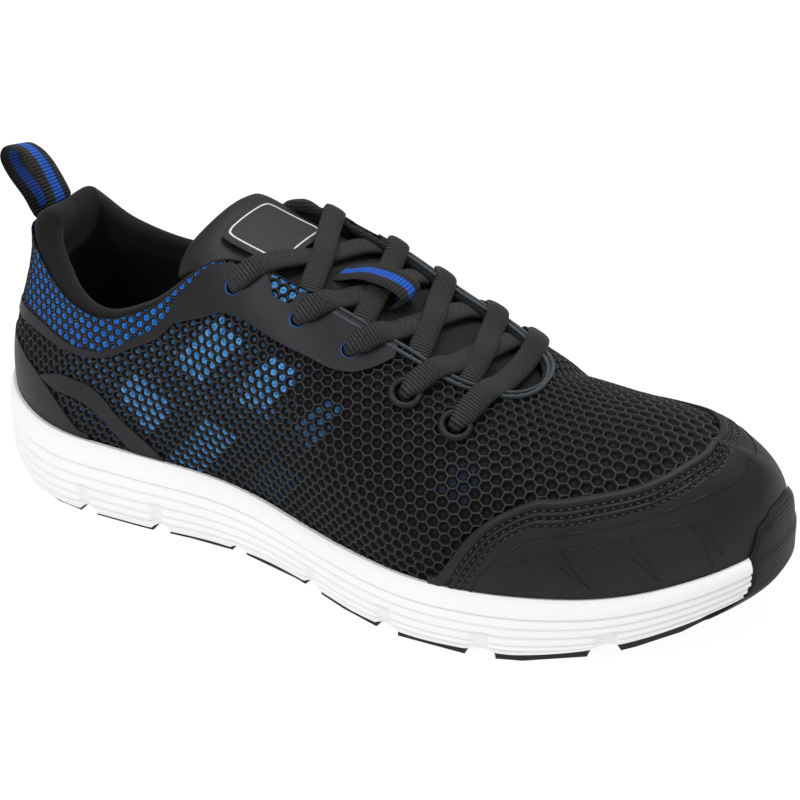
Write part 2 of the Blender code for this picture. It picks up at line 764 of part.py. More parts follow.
def overlays():
    """Toe cap, counter, straps, collar strip and eyestays."""
    side = np.concatenate([np.linspace(0, 0.27, 10), np.linspace(0.27, 0.358, 8)[1:]])
    w = 1 + np.concatenate([-side[:0:-1], side])
    high = CAP_BORDER.at("high", side_of(w)[0])
    low = sill(w, SILL)
    high = np.maximum(high, low + LEAST_HEIGHT)
    patch("toe_cap", w, low, high, 6, TOE_CAP, FILM, lift=CAP_GAP)

    w = np.linspace(-0.216, 0.216, 21)
    high = COUNTER_BORDER.at("high", side_of(w)[0])
    low = sill(w, SILL)
    high = np.maximum(high, low + LEAST_HEIGHT)
    patch("heel_counter", w, low, high, 4, OVERLAY, FILM)

    w = np.linspace(-0.350, 0.350, 29)
    t, _ = side_of(w)
    patch("collar_strip", w, STRIP_BORDER.at("low", t), STRIP_BORDER.at("high", t), 2, OVERLAY, FILM)

    stays = []
    for side in ("lateral", "medial"):
        w = np.linspace(0.150, 0.310, 13)
        w = w if side == "lateral" else mirrored(w)
        t, _ = side_of(w)
        high = STRAP_BORDER.at("high", t)
        low = np.maximum(STRAP_BORDER.at("low", t), sill(w, SILL))
        high = np.maximum(high, low + LEAST_HEIGHT)
        patch("quarter_strap_" + side, w, low, high, 3, OVERLAY, FILM)
        w = np.linspace(0.356, 0.598, 17)
        w = w if side == "lateral" else mirrored(w)
        t, _ = side_of(w)
        stays.append(
            patch("eyestay_" + side, w, STAY_BORDER.at("low", t), STAY_BORDER.at("high", t), 3, OVERLAY, FILM)
        )
    return stays


def eyelets(shell, stays):
    for side, stay in zip(("lateral", "medial"), stays):
        for number, (place, height) in enumerate(EYELETS, 1):
            w = place if side == "lateral" else 2 - place
            cutter = eyelet_cutter(f"eyelet_cut_{side}_{number}", w, height)
            cut(shell, [cutter])
            if number <= STAY_EYELETS:
                cut(stay, [cutter])
                continue
            eyelet_ring(f"eyelet_ring_{side}_{number}", w, height)


def eyelet_ring(name, place, height):
    """A raised ring that lies on the net around a hole."""
    middle = skin(place, height)
    top = skin(place, height, 1.0)
    bulge = RING_RADIUS**2 / BALL
    bpy.ops.mesh.primitive_torus_add(
        major_radius=RING_RADIUS, minor_radius=RING_WIRE, major_segments=10, minor_segments=5
    )
    made = bpy.context.object
    made.name = name
    made.data.name = name
    for other in list(made.users_collection):
        other.objects.unlink(made)
    SHOE.objects.link(made)
    normal = top - middle
    made.location = middle + normal * (RING_WIRE + GAP + bulge)
    made.rotation_mode = "QUATERNION"
    made.rotation_quaternion = turn_to(normal)
    made.data.materials.append(FILM)
    made.data.shade_smooth()
    return made


# Tongue and what lies on it


def tongue_face(t, c):
    """Outer face of the tongue beside the throat. c is -1 and 1 under the throat's two edges."""
    under = -WALL - 2 * GAP
    outer = skin(t, 1.0, under)
    inner = skin(2 - np.asarray(t), 1.0, under)
    middle = (edge(t) + edge(2 - np.asarray(t))) / 2
    middle[..., 2] += TONGUE_MIDDLE.at("drop", t) * INSTEP
    c = np.asarray(c, float)[..., None]
    return middle + c * (inner - outer) / 2 + c * c * ((inner + outer) / 2 - middle)


def tongue_end(step, c):
    """Outer face of the tongue's free top. c is -1 and 1 at its sides."""
    x = TONGUE_END.at("middle_x", step) * LENGTH - HEEL_SEAT
    z = SIDE.at("footbed", 0) * SOLE_HEIGHT + TONGUE_END.at("middle_z", step) * INSTEP
    half = TONGUE_END.at("half_width", step) * BALL
    drop = TONGUE_END.at("side_drop", step) * INSTEP
    c = np.asarray(c, float)
    return np.stack([x + 0 * c, half * c, z - drop * c * c], -1)


def tongue_rows():
    """Rows of points across the tongue's outer face, from its free top to the front, and their padding."""
    rows = []
    pads = []
    for step in range(len(TONGUE_END.rows)):
        rows.append(tongue_end(step, TONGUE_LANES))
        pads.append(TONGUE_END.at("pad", step))
    tuck = -WALL - 2 * GAP - 0.0003
    heights = np.array([TUCK, (1 + TUCK) / 2])
    for t in np.linspace(0.440, 0.716, 7):
        outer = skin(t, heights, tuck)
        inner = skin(2 - t, heights[::-1], tuck)
        rows.append(np.concatenate([outer, tongue_face(t, np.array([-0.6, 0, 0.6])), inner]))
        pads.append(TONGUE_MIDDLE.at("pad", t))
    return np.array(rows), np.array(pads)


def tongue():
    rows, pads = tongue_rows()
    count = len(TONGUE_LANES)
    faces = grid_faces(len(rows), count)
    made = add_mesh("tongue", rows.reshape(-1, 3), faces, TONGUE_SKIN, closed=False)
    if sum(polygon.normal.z for polygon in made.data.polygons) < 0:
        made.data.flip_normals()
    weights = np.repeat((TONGUE + (TONGUE_TOP - TONGUE) * pads) / TONGUE_TOP, count)
    thicken(made, TONGUE_TOP, outward=False, weights=weights)
    soft = made.modifiers.new("soft", "SUBSURF")
    soft.levels = 1
    soft.render_levels = 1
    return made


def on_tongue(x, y, lift):
    """Points over the tongue's outer face at the places x and y, and the ways up there."""
    rows, _ = tongue_rows()
    middle = rows[:, len(TONGUE_LANES) // 2, 0]

    def face(x, y):
        row = np.interp(x, middle, np.arange(len(middle)))
        lanes = smooth(np.arange(len(middle)), rows, row)
        return np.array([smooth(lane[:, 1], lane, np.array([k]))[0] for lane, k in zip(lanes, y)])

    x, y = np.broadcast_arrays(np.asarray(x, float), np.asarray(y, float))
    step = 0.001
    here = face(x, y)
    along = face(x + step, y) - face(x - step, y)
    across = face(x, y + step) - face(x, y - step)
    normal = np.cross(along, across)
    normal /= np.linalg.norm(normal, axis=1)[:, None]
    return here + normal * np.asarray(lift, float)[..., None], normal


def tongue_badge():
    """A bare patch with a raised place for a mark."""
    middle = BADGE_PLACE * LENGTH - HEEL_SEAT
    x = middle + np.linspace(-0.5, 0.5, 5) * BADGE_LENGTH
    y = np.linspace(-0.5, 0.5, 6) * BADGE_WIDTH
    points, _ = on_tongue(np.repeat(x, len(y)), np.tile(y, len(x)), SEAT_LIFT)
    made = add_mesh("tongue_badge", points, grid_faces(len(x), len(y)), BADGE_FINISH, closed=False)
    if sum(polygon.normal.z for polygon in made.data.polygons) < 0:
        made.data.flip_normals()
    thicken(made, BADGE, outward=True)
    return made


def tongue_webbing():
    """A short strip of webbing that arches over the laces in the middle of the tongue."""
    share = np.linspace(0, 1, 9)
    x = KEEPER_PLACE * LENGTH - HEEL_SEAT + (share - 0.5) * KEEPER_LENGTH
    lift = SEAT_LIFT + WEBBING / 2 + KEEPER_ARCH * ease(1 - abs(2 * share - 1), 0, 0.55)
    path, ups = on_tongue(x, 0 * x, lift)
    return sweep("tongue_webbing", path, ups, WEBBING_WIDTH, WEBBING, WEBBING_CLOTH)


# Laces


def lace_run(start, end, both_over=False):
    """One run from beside an eyelet, over the throat's edge, across the tongue to the other side."""
    (w_start, v_start), (w_end, v_end) = start, end
    lift = OVERLAY + GAP + LACE / 2 + LACE_CLEARANCE
    near = np.array([v_start + LACE_START, 1.0])
    far = np.array([1.0, v_end + LACE_START])
    first = skin(w_start, near, lift)
    last = skin(w_end, far, lift)
    x = np.linspace(first[-1, 0], last[0, 0], 6 if both_over else 5)[1:5]
    y = np.linspace(-LACE_REACH, LACE_REACH, 4) * (last[0, 1] - first[-1, 1]) / 2
    badge_end = (BADGE_PLACE + BADGE_LENGTH / LENGTH / 2) * LENGTH - HEEL_SEAT
    over_badge = (BADGE + SEAT_LIFT) * (1 - ease(x, badge_end + 0.002, badge_end + 0.012))
    middle, middle_ups = on_tongue(x, y, SEAT_LIFT + LACE / 2 + over_badge)
    parts = [first, middle]
    ups = [normal_at(w_start, near), middle_ups]
    if both_over:
        parts.append(last)
        ups.append(normal_at(w_end, far))
    return np.concatenate(parts), np.concatenate(ups)


def normal_at(w, v):
    return skin(w, v, 1.0) - skin(w, v)


def laces():
    """The runs between the eyelets, joined where they cross."""
    runs = []
    for upper_pair, lower_pair in zip(EYELETS, EYELETS[1:]):
        runs.append(lace_run(upper_pair, (2 - lower_pair[0], lower_pair[1])))
        runs.append(lace_run((2 - upper_pair[0], upper_pair[1]), lower_pair))
    front = EYELETS[-1]
    runs.append(lace_run(front, (2 - front[0], front[1]), both_over=True))
    made = None
    for number, (path, ups) in enumerate(runs):
        if made is None:
            made = sweep("laces", path, ups, LACE_WIDTH, LACE, LACE_CLOTH)
            continue
        run = sweep(f"lace_run_{number}", path, ups, LACE_WIDTH, LACE, collection=CUTTERS)
        run.display_type = "WIRE"
        run.hide_render = True
        join = made.modifiers.new("join", "BOOLEAN")
        join.operation = "UNION"
        join.object = run
        join.solver = "EXACT"
    return made


# Pull loop


def pull_loop():
    """A ring of webbing that stands on the collar's back edge and leans back."""
    count = 20
    rows = LOOP.rows[:, 1:]
    closed = np.concatenate([rows[-2:], rows, rows[:3]])
    line = smooth(np.arange(len(closed)), closed, 2 + np.arange(count) * len(rows) / count)
    rim = edge(np.array([0.0]))[0]
    share = np.clip(line[:, 1], 0, 1)
    middle = np.column_stack([rim[0] - line[:, 0] * LOOP_BACK, 0 * share, rim[2] + line[:, 1] * LOOP_RISE])
    tangent = np.roll(middle, -1, 0) - np.roll(middle, 1, 0)
    normal = np.column_stack([-tangent[:, 2], tangent[:, 1], tangent[:, 0]])
    normal /= np.linalg.norm(normal, axis=1)[:, None]
    lanes = []
    for across, over in ((-0.5, 0.5), (0.5, 0.5), (0.5, -0.5), (-0.5, -0.5)):
        y = across * WEBBING_WIDTH
        lane = middle + normal * over * WEBBING
        lane[:, 1] += y
        lane[:, 2] -= LOOP_TILT * y * share
        lane[:, 0] -= 0.4 * LOOP_TILT * y * share
        lanes.append(lane)
    faces = []
    for k in range(4):
        for i in range(count):
            a = k * count + i
            b = k * count + (i + 1) % count
            c = (k + 1) % 4 * count
            faces.append((a, b, c + (i + 1) % count, c + i))
    return add_mesh("pull_loop", np.concatenate(lanes), faces, WEBBING_CLOTH)


shell = upper()
stays = overlays()
midsole()
outsole()
toe_bumper()
insole()
tongue()
tongue_badge()
tongue_webbing()
eyelets(shell, stays)
laces()
pull_loop()
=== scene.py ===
"""Safety sneaker: its cloth, net, films, foam, rubber and laces over the fixed frame.

Metres, +Z up, +X towards the toe, +Y towards the inner side of the foot, as in the frame.
"""

from math import cos, pi, radians, sin, sqrt

import bmesh
import bpy
import numpy as np
from mathutils import Matrix, Vector
from mathutils.bvhtree import BVHTree


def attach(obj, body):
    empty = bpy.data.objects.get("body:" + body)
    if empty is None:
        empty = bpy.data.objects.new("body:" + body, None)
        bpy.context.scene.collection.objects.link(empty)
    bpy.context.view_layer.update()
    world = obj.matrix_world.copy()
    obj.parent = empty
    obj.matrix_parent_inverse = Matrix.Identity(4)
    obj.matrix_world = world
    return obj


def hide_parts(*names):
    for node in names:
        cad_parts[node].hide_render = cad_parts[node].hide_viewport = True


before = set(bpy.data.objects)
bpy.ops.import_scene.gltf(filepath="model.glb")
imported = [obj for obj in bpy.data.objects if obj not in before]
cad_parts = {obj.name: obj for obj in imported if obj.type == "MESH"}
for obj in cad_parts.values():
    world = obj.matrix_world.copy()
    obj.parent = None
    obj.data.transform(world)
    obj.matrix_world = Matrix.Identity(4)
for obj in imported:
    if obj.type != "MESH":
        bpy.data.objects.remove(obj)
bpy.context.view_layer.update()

# Sizes shared with the solids
LENGTH = 0.302
BALL = 0.110
INSTEP = 0.080
SOLE_HEIGHT = 0.036
HEEL_SEAT = 0.040
WALL = 0.0022
COLLAR_PAD = 0.0038
FEATHER = 0.004
OUTSOLE = 0.003
FLARE = 0.0024
NOTCH_DEPTH = 0.003
BUMPER_RECESS = 0.0016
TOE_RISE = 0.012
TONGUE = 0.0035
TONGUE_TOP = 0.0085
SEAT_LIFT = 0.0005

# Camera
CAMERA_TURN = 28.4881  # degrees from the side view
CAMERA_RISE = 28.1266
CAMERA_ROLL = -0.1905
CAMERA_AIM = (0.110, 0.0, 0.050)
CAMERA_DISTANCE = 0.7
CAMERA_LENS = 88.464
CAMERA_SHIFT = (0.04145, 0.0019)
SENSOR = 36

# Light: each lamp's name, place, size and power
LAMPS = (
    ("key", (-0.3, -1.0, 1.4), 0.8, 14.0),
    ("fill", (1.3, -0.7, 0.8), 0.7, 2.6),
    ("top", (0.2, 0.6, 1.5), 0.9, 16.0),
)
LAMP_AIM = (0.1, 0, 0.05)
SURROUND = 0.42
TABLE_GLOW = 0.96
TABLE_SIZE = 6
TABLE_DROP = 0.0002

# Net
NET_PITCH = 0.00385
NET_TURN = -11.7  # degrees, how the net's rows fall towards the toe on the outer side
NET_TOP = 0.00055  # over the upper's face
NET_FLOOR = -0.0006
NET_FLOOR_COLLAR = 0.0001
NET_CLOTH_LIFT = -0.0007
RIB_SHARE = 0.88  # where a rib's flat top ends, as a share of its cell
RIB_FALL = 0.0001
HOLE_SHARES = (0.72, 0.82)  # where the opening begins, towards a corner and a side of its cell
NET_CLEAR = (0.0025, 0.0040)  # room around the punched eyelets and around the ringed ones
CELL_POINTS = 25
COLLAR_ROLL = 0.028  # share of the height that the collar's roll takes
HEEL_PAD = 0.0040  # how much thicker the collar's padding is at the heel


# Films over the upper
CAP_FILM = 0.0014
COUNTER_FILM = 0.0011
STRAP_FILM = 0.0011
STAY_FILM = 0.0012
HEEL_STRIP_FILM = 0.0010
STRIP_FILM = 0.0009
FILM_FOOT = 0.0004  # how far over the sole's top the films begin
FILM_LEAST = 0.02  # the least height of a film, as a share of the upper
FILM_SOFT = 0.00035  # how far a film's edges are rounded

UP = np.array([0.0, 0.0, 1.0])

# The shoe's form, from the same shares as the solids


def unit(vectors):
    """The same vectors with a length of one."""
    return vectors / np.linalg.norm(vectors, axis=-1, keepdims=True)


def place_along(share):
    """X for a share of the sole's length."""
    return share * LENGTH - HEEL_SEAT


def distances(path):
    """How far along a path each of its points lies."""
    return np.concatenate([[0], np.cumsum(np.linalg.norm(np.diff(path, axis=0), axis=1))])


def soften(path, times):
    """Draws the points of a path towards their neighbours. Its ends stay."""
    for _ in range(times):
        path[1:-1] = path[:-2] / 4 + path[1:-1] / 2 + path[2:] / 4


def smooth(x, y, s):
    """A smooth curve through the values y at the places x, read at the places s."""
    shape = (-1,) + (1,) * (y.ndim - 1)
    step = np.diff(x)
    rate = np.diff(y, axis=0) / step.reshape(shape)
    slope = np.concatenate([rate[:1], rate])
    before = step[:-1].reshape(shape)
    after = step[1:].reshape(shape)
    slope[1:-1] = (rate[:-1] * after + rate[1:] * before) / (before + after)
    s = np.clip(np.asarray(s, float), x[0], x[-1])
    i = np.clip(np.searchsorted(x, s, side="right") - 1, 0, len(x) - 2)
    more = s.shape + (1,) * (y.ndim - 1)
    u = ((s - x[i]) / step[i]).reshape(more)
    h = step[i].reshape(more)
    value = (1 + 2 * u) * (1 - u) ** 2 * y[i] + u * (1 - u) ** 2 * h * slope[i]
    return value + u * u * (3 - 2 * u) * y[i + 1] + u * u * (u - 1) * h * slope[i + 1]


class Table:
    """Rows under named columns, read between the rows as a smooth curve of the first column."""

    def __init__(self, names, *rows):
        self.names = names.split()
        self.rows = np.array(rows, float)

    def at(self, name, s):
        return smooth(self.rows[:, 0], self.rows[:, self.names.index(name)], s)


# The sole seen from above, as shares of its length and of the ball's width
OUTLINE = Table(
    "along half_width shift",
    (0.00, 0.370, 0.000),
    (0.14, 0.400, 0.000),
    (0.42, 0.365, -0.040),
    (0.68, 0.500, -0.055),
    (0.84, 0.475, 0.020),
    (1.00, 0.430, 0.140),
)
HEEL_ROUND = 0.18
TOE_ROUND = 0.26
HEEL_POWER = 2.1
TOE_POWER = 2.3

# The sole's side lines, as shares of its height, and how far its side swells out
SIDE = Table(
    "along tread footbed top flare",
    (0.00, 0.230, 0.778, 1.000, 1.00),
    (0.10, -0.010, 0.722, 0.889, 1.00),
    (0.24, -0.010, 0.694, 0.845, 0.90),
    (0.38, 0.050, 0.655, 0.810, 0.60),
    (0.50, 0.040, 0.556, 0.694, 0.50),
    (0.60, -0.010, 0.525, 0.690, 0.50),
    (0.76, -0.010, 0.500, 0.690, 0.55),
    (0.87, 0.125, 0.530, 0.715, 0.50),
    (1.00, 0.450, 0.667, 0.889, 0.30),
)
SWELL = Table(
    "height outset",
    (0.00, -0.60),
    (0.12, 0.50),
    (0.35, 1.00),
    (0.60, 1.00),
    (0.80, 0.60),
    (1.00, 0.00),
)
# Notches in the sole's side: place and width
NOTCHES = (
    (0.217, 0.013),
    (0.304, 0.013),
    (0.396, 0.010),
    (0.492, 0.015),
    (0.588, 0.018),
    (0.683, 0.022),
    (0.796, 0.024),
)

# The upper's edge and the lean of its sides. From the ridge's start both sides meet over the toes
RIDGE_START = 0.73
UPPER = Table(
    "place edge_x gap edge_z fall rise reach lean middle",
    (0.000, 0.060, 0.000, 0.905, 100, 0.45, 0.30, 8, 0.000),
    (0.055, 0.067, 0.150, 0.919, 95, 0.45, 0.30, 8, 0.000),
    (0.130, 0.120, 0.255, 0.744, 88, 0.45, 0.32, 8, 0.000),
    (0.220, 0.195, 0.325, 0.652, 78, 0.42, 0.33, 10, 0.000),
    (0.320, 0.270, 0.312, 0.746, 65, 0.42, 0.35, 12, 0.000),
    (0.410, 0.358, 0.250, 0.987, 50, 0.45, 0.35, 12, 0.000),
    (0.500, 0.460, 0.232, 0.933, 38, 0.45, 0.38, 12, 0.000),
    (0.600, 0.580, 0.205, 0.757, 30, 0.45, 0.40, 12, 0.000),
    (0.670, 0.668, 0.180, 0.629, 22, 0.45, 0.40, 12, 0.000),
    (0.705, 0.708, 0.105, 0.582, 12, 0.45, 0.40, 12, 0.005),
    (0.730, 0.722, 0.000, 0.565, 5, 0.45, 0.40, 12, 0.010),
    (0.800, 0.768, 0.000, 0.520, 0, 0.47, 0.42, 11, 0.020),
    (0.900, 0.845, 0.000, 0.482, 0, 0.48, 0.46, 8, 0.040),
    (0.970, 0.889, 0.000, 0.443, 0, 0.48, 0.475, 5, 0.055),
    (1.000, 0.895, 0.000, 0.439, 0, 0.48, 0.48, 4, 0.060),
    (1.030, 0.889, 0.000, 0.443, 0, 0.48, 0.475, 5, 0.055),
)

# Borders of the films: places along the ring, and heights as shares of the upper
CAP_BORDER = Table(
    "place high",
    (0.628, 0.020),
    (0.640, 0.100),
    (0.650, 0.155),
    (0.660, 0.238),
    (0.670, 0.300),
    (0.680, 0.360),
    (0.690, 0.400),
    (0.710, 0.447),
    (0.730, 0.455),
    (0.750, 0.465),
    (0.785, 0.500),
    (0.835, 0.552),
    (0.865, 0.613),
    (0.905, 0.728),
    (0.930, 0.800),
    (0.950, 0.862),
    (0.970, 0.906),
    (1.000, 0.936),
    (1.030, 0.906),
)
COUNTER_BORDER = Table(
    "place high",
    (0.000, 0.330),
    (0.060, 0.335),
    (0.115, 0.345),
    (0.148, 0.334),
    (0.173, 0.284),
    (0.192, 0.210),
    (0.210, 0.122),
    (0.225, 0.036),
)
STRAP_BORDER = Table(
    "place low high",
    (0.150, 0.335, 0.352),
    (0.179, 0.335, 0.450),
    (0.208, 0.348, 0.480),
    (0.226, 0.325, 0.480),
    (0.246, 0.245, 0.417),
    (0.263, 0.150, 0.310),
    (0.279, 0.060, 0.235),
    (0.300, 0.000, 0.140),
    (0.312, 0.000, 0.070),
)
STRIP_BORDER = Table(
    "place low high",
    (0.000, 0.400, 0.460),
    (0.060, 0.440, 0.510),
    (0.133, 0.575, 0.650),
    (0.196, 0.650, 0.705),
    (0.246, 0.705, 0.757),
    (0.287, 0.770, 0.820),
    (0.333, 0.800, 0.865),
    (0.350, 0.822, 0.890),
    (0.362, 0.845, 0.900),
)
STAY_BORDER = Table(
    "place low high",
    (0.3500, 0.868, 0.882),
    (0.3515, 0.845, 0.904),
    (0.3560, 0.825, 0.918),
    (0.3710, 0.805, 0.942),
    (0.390, 0.785, 0.975),
    (0.412, 0.790, 0.985),
    (0.438, 0.785, 0.985),
    (0.471, 0.767, 0.985),
    (0.517, 0.762, 0.985),
    (0.546, 0.768, 0.985),
    (0.565, 0.800, 0.985),
    (0.583, 0.862, 0.985),
    (0.598, 0.935, 0.985),
)
# Ring place and height of each eyelet, from the collar to the toe
EYELETS = ((0.429, 0.900), (0.504, 0.883), (0.558, 0.872), (0.613, 0.822), (0.658, 0.785))
STAY_EYELETS = 3
STAY_NOTCH = 0.484
STAY_NOTCH_DEPTH = 0.065
EYELET_RADIUS = 0.0031
LACE_WIDE = 0.0084
LACE_THICK = 0.0029
LACE_ONWARD = 0.024  # how far forward of its eyelet a lace crosses the throat's edge, in ring places
LACE_UNDER = 0.003
LACE_CROSSING = 0.0024
LACE_POWER = 0.8  # how square the lace's oval is
LACE_SUNK = 0.0035  # how deep in its eyelet a lace ends
LACE_SWELL = 0.0016  # how far a lace rises over what lies beside it
BADGE_PLACE = 0.376
BADGE_END = 0.419
BADGE_POWER = 9
BADGE_HALF = (0.0130, 0.0165)
BADGE_THICK = 0.0016
RING_RADIUS = 0.0047
RING_WIRE = 0.0011
RIM_WIRE = 0.0004
RIM_LIFT = 0.0007

# The tongue's middle between the throat's edges, and its free top
TONGUE_MIDDLE = Table(
    "place drop pad",
    (0.430, -0.004, 0.70),
    (0.457, -0.020, 0.45),
    (0.500, -0.056, 0.15),
    (0.550, -0.040, 0.00),
    (0.600, -0.026, 0.00),
    (0.650, -0.030, 0.00),
    (0.700, -0.045, 0.00),
    (0.716, -0.055, 0.00),
)
TUCK = 0.87
TONGUE_LANES = np.array([-1, -0.88, -0.44, 0, 0.44, 0.88, 1])
TONGUE_END = Table(
    "step middle_x middle_z half_width side_drop pad tilt near far corner_drop corner_back",
    (0, 0.3015, 1.053, 0.230, 0.060, 1.00, 0.130, 1.06, 0.86, 0.012, 0.0048),
    (1, 0.3150, 1.072, 0.240, 0.065, 1.00, 0.115, 1.06, 0.86, 0.009, 0.0032),
    (2, 0.3360, 1.055, 0.243, 0.070, 1.00, 0.090, 1.04, 0.90, 0.002, 0.0010),
    (3, 0.3620, 1.012, 0.245, 0.080, 0.85, 0.085, 1.00, 0.95, 0.000, 0.0000),
)


def ease(x, start, end):
    """0 before start, 1 after end and a soft rise between them."""
    u = np.clip((np.asarray(x, float) - start) / (end - start), 0, 1)
    return u * u * (3 - 2 * u)


def round_end(s):
    """How the sole's half width falls to nothing at the heel and the toe."""
    heel = np.clip(1 - s / HEEL_ROUND, 0, 1)
    toe = np.clip(1 - (1 - s) / TOE_ROUND, 0, 1)
    return (1 - heel**HEEL_POWER) ** (1 / HEEL_POWER) * (1 - toe**TOE_POWER) ** (1 / TOE_POWER)


def half_outline(sign, steps=500):
    """One side of the sole's outline: the share of its length, its points and the ways out."""
    s = (1 - np.cos(np.linspace(0, pi, steps))) / 2
    half = OUTLINE.at("half_width", s) * round_end(s) * BALL
    points = np.stack([place_along(s), OUTLINE.at("shift", s) * BALL + sign * half], 1)
    arc = distances(points)
    tangent = np.gradient(points, axis=0)
    tangent[0] = (0, sign)
    tangent[-1] = (0, -sign)
    outward = unit(np.stack([-tangent[:, 1], tangent[:, 0]], 1)) * sign
    return arc / arc[-1], points, outward


HALVES = (half_outline(-1), half_outline(1))


def side_of(w):
    """Ring place 0 to 1 is the outer side, heel to toe, and 1 to 2 is the inner side, back to the heel."""
    w = np.mod(np.asarray(w, float), 2)
    return np.where(w > 1, 2 - w, w), w > 1


def outline(w, outset=0.0):
    """Points of the sole's outline at the ring places, and the ways out there."""
    t, inner = side_of(w)
    found = []
    for arc, points, outward in HALVES:
        found.append(np.stack([np.interp(t, arc, column) for column in (*points.T, *outward.T)], -1))
    row = np.where(inner[..., None], found[1], found[0])
    direction = unit(row[..., 2:])
    return row[..., :2] + direction * np.asarray(outset)[..., None], direction


def side_height(name, x):
    """The height of one of the sole's side lines."""
    return np.maximum(SIDE.at(name, (x + HEEL_SEAT) / LENGTH), 0) * SOLE_HEIGHT


def edge(w):
    """The upper's edge: the collar, the throat and the ridge over the toes."""
    t, inner = side_of(w)
    x = place_along(UPPER.at("edge_x", t))
    gap = np.where(t < RIDGE_START, np.maximum(UPPER.at("gap", t), 0), 0)
    y = (UPPER.at("middle", t) + np.where(inner, 1, -1) * gap) * BALL
    z = SIDE.at("footbed", 0) * SOLE_HEIGHT + UPPER.at("edge_z", t) * INSTEP
    return np.stack([x, y, z], -1)


def column(w, v):
    """The upper's outer face: w along the ring, v from 0 at the sole to 1 at the edge."""
    w, v = np.broadcast_arrays(w, v)
    t, _ = side_of(w)
    foot, direction = outline(w, -FEATHER)
    start = np.concatenate([foot, side_height("footbed", foot[..., 0])[..., None]], -1)
    end = edge(w)
    out = np.concatenate([direction, np.zeros_like(direction[..., :1])], -1)
    chord = np.linalg.norm(end - start, axis=-1)[..., None]
    lean = np.radians(UPPER.at("lean", t))[..., None]
    fall = np.radians(UPPER.at("fall", t))[..., None]
    low = start + UPPER.at("rise", t)[..., None] * chord * (UP * np.cos(lean) + out * np.sin(lean))
    level = (start - end) * (1, 1, 0)
    level /= np.maximum(np.linalg.norm(level, axis=-1, keepdims=True), 1e-9)
    level = unit(level + out)
    high = end + UPPER.at("reach", t)[..., None] * chord * (level * np.cos(fall) - UP * np.sin(fall))
    ahead = edge(np.minimum(t + 0.004, 1))
    behind = edge(np.maximum(t - 0.004, 0))
    slope = (ahead[..., 2] - behind[..., 2]) / np.maximum(ahead[..., 0] - behind[..., 0], 1e-6)
    high[..., 2] += ease(t, RIDGE_START - 0.05, RIDGE_START + 0.03) * slope * (high[..., 0] - end[..., 0])
    v = v[..., None]
    return (1 - v) ** 3 * start + 3 * v * (1 - v) ** 2 * low + 3 * v * v * (1 - v) * high + v**3 * end


def face_normal(w, v):
    """The way out of the upper's face."""
    w, v = np.broadcast_arrays(np.asarray(w, float), np.asarray(v, float))
    step = 0.002
    along = column(w + step, v) - column(w - step, v)
    across = column(w, np.minimum(v + step, 1)) - column(w, np.maximum(v - step, 0))
    return unit(np.cross(along, across))


def skin(w, v, lift=0.0):
    """Points of the upper's outer face, lifted off it along its normal."""
    w, v = np.broadcast_arrays(np.asarray(w, float), np.asarray(v, float))
    here = column(w, v)
    if np.all(np.asarray(lift) == 0):
        return here
    return here + face_normal(w, v) * np.asarray(lift)[..., None]


def height_on(w, z):
    """The share v at which each column of the upper passes the height z."""
    low = np.zeros_like(z)
    high = np.full_like(z, 0.6)
    for _ in range(24):
        middle = (low + high) / 2
        below = column(w, middle)[..., 2] < z
        low = np.where(below, middle, low)
        high = np.where(below, high, middle)
    return (low + high) / 2


def sill(w, over):
    """The share v at which the upper clears the top of the sole's side."""
    foot, _ = outline(w, -FEATHER)
    return height_on(w, side_height("top", foot[..., 0]) + over)


def padding(w, v):
    """Where the collar is padded: 1 at its edge and 0 below it and beside the throat."""
    t, _ = side_of(w)
    return (1 - ease(t, 0.33, 0.41)) * ease(v, 0.62, 0.92)


def tongue_face(t, c):
    """Outer face of the tongue beside the throat. c is -1 and 1 under the throat's two edges."""
    under = -WALL - 0.0008
    outer = skin(t, 1.0, under)
    inner = skin(2 - np.asarray(t), 1.0, under)
    middle = (edge(t) + edge(2 - np.asarray(t))) / 2
    middle[..., 2] += TONGUE_MIDDLE.at("drop", t) * INSTEP
    c = np.asarray(c, float)[..., None]
    return middle + c * (inner - outer) / 2 + c * c * ((inner + outer) / 2 - middle)


def tongue_end(step, c):
    """Points across the tongue's free top, with its near corner turned down and back."""
    x = place_along(TONGUE_END.at("middle_x", step))
    z = SIDE.at("footbed", 0) * SOLE_HEIGHT + TONGUE_END.at("middle_z", step) * INSTEP
    half = TONGUE_END.at("half_width", step) * BALL
    c = np.asarray(c, float)
    z = z - TONGUE_END.at("side_drop", step) * INSTEP * c * c + TONGUE_END.at("tilt", step) * half * c
    wide = np.where(c < 0, TONGUE_END.at("near", step), TONGUE_END.at("far", step))
    z = z - TONGUE_END.at("corner_drop", step) * ease(-c, 0.86, 1.0)
    x = x - TONGUE_END.at("corner_back", step) * (0.5 * ease(-c, 0.2, 0.9) + 0.5 * ease(-c, 0.86, 1.0))
    return np.stack([x + 0 * c, half * wide * c, z], -1)


def tongue_rows():
    """Rows of points across the tongue's outer face, from its free top to the front, and their padding."""
    rows = []
    pads = []
    for step in range(len(TONGUE_END.rows)):
        rows.append(tongue_end(step, TONGUE_LANES))
        pads.append(TONGUE_END.at("pad", step))
    tuck = -WALL - 0.0011
    heights = np.array([TUCK, (1 + TUCK) / 2])
    for t in np.linspace(0.440, 0.716, 7):
        outer = skin(t, heights, tuck)
        inner = skin(2 - t, heights[::-1], tuck)
        rows.append(np.concatenate([outer, tongue_face(t, np.array([-0.6, 0, 0.6])), inner]))
        pads.append(TONGUE_MIDDLE.at("pad", t))
    return np.array(rows), np.array(pads)


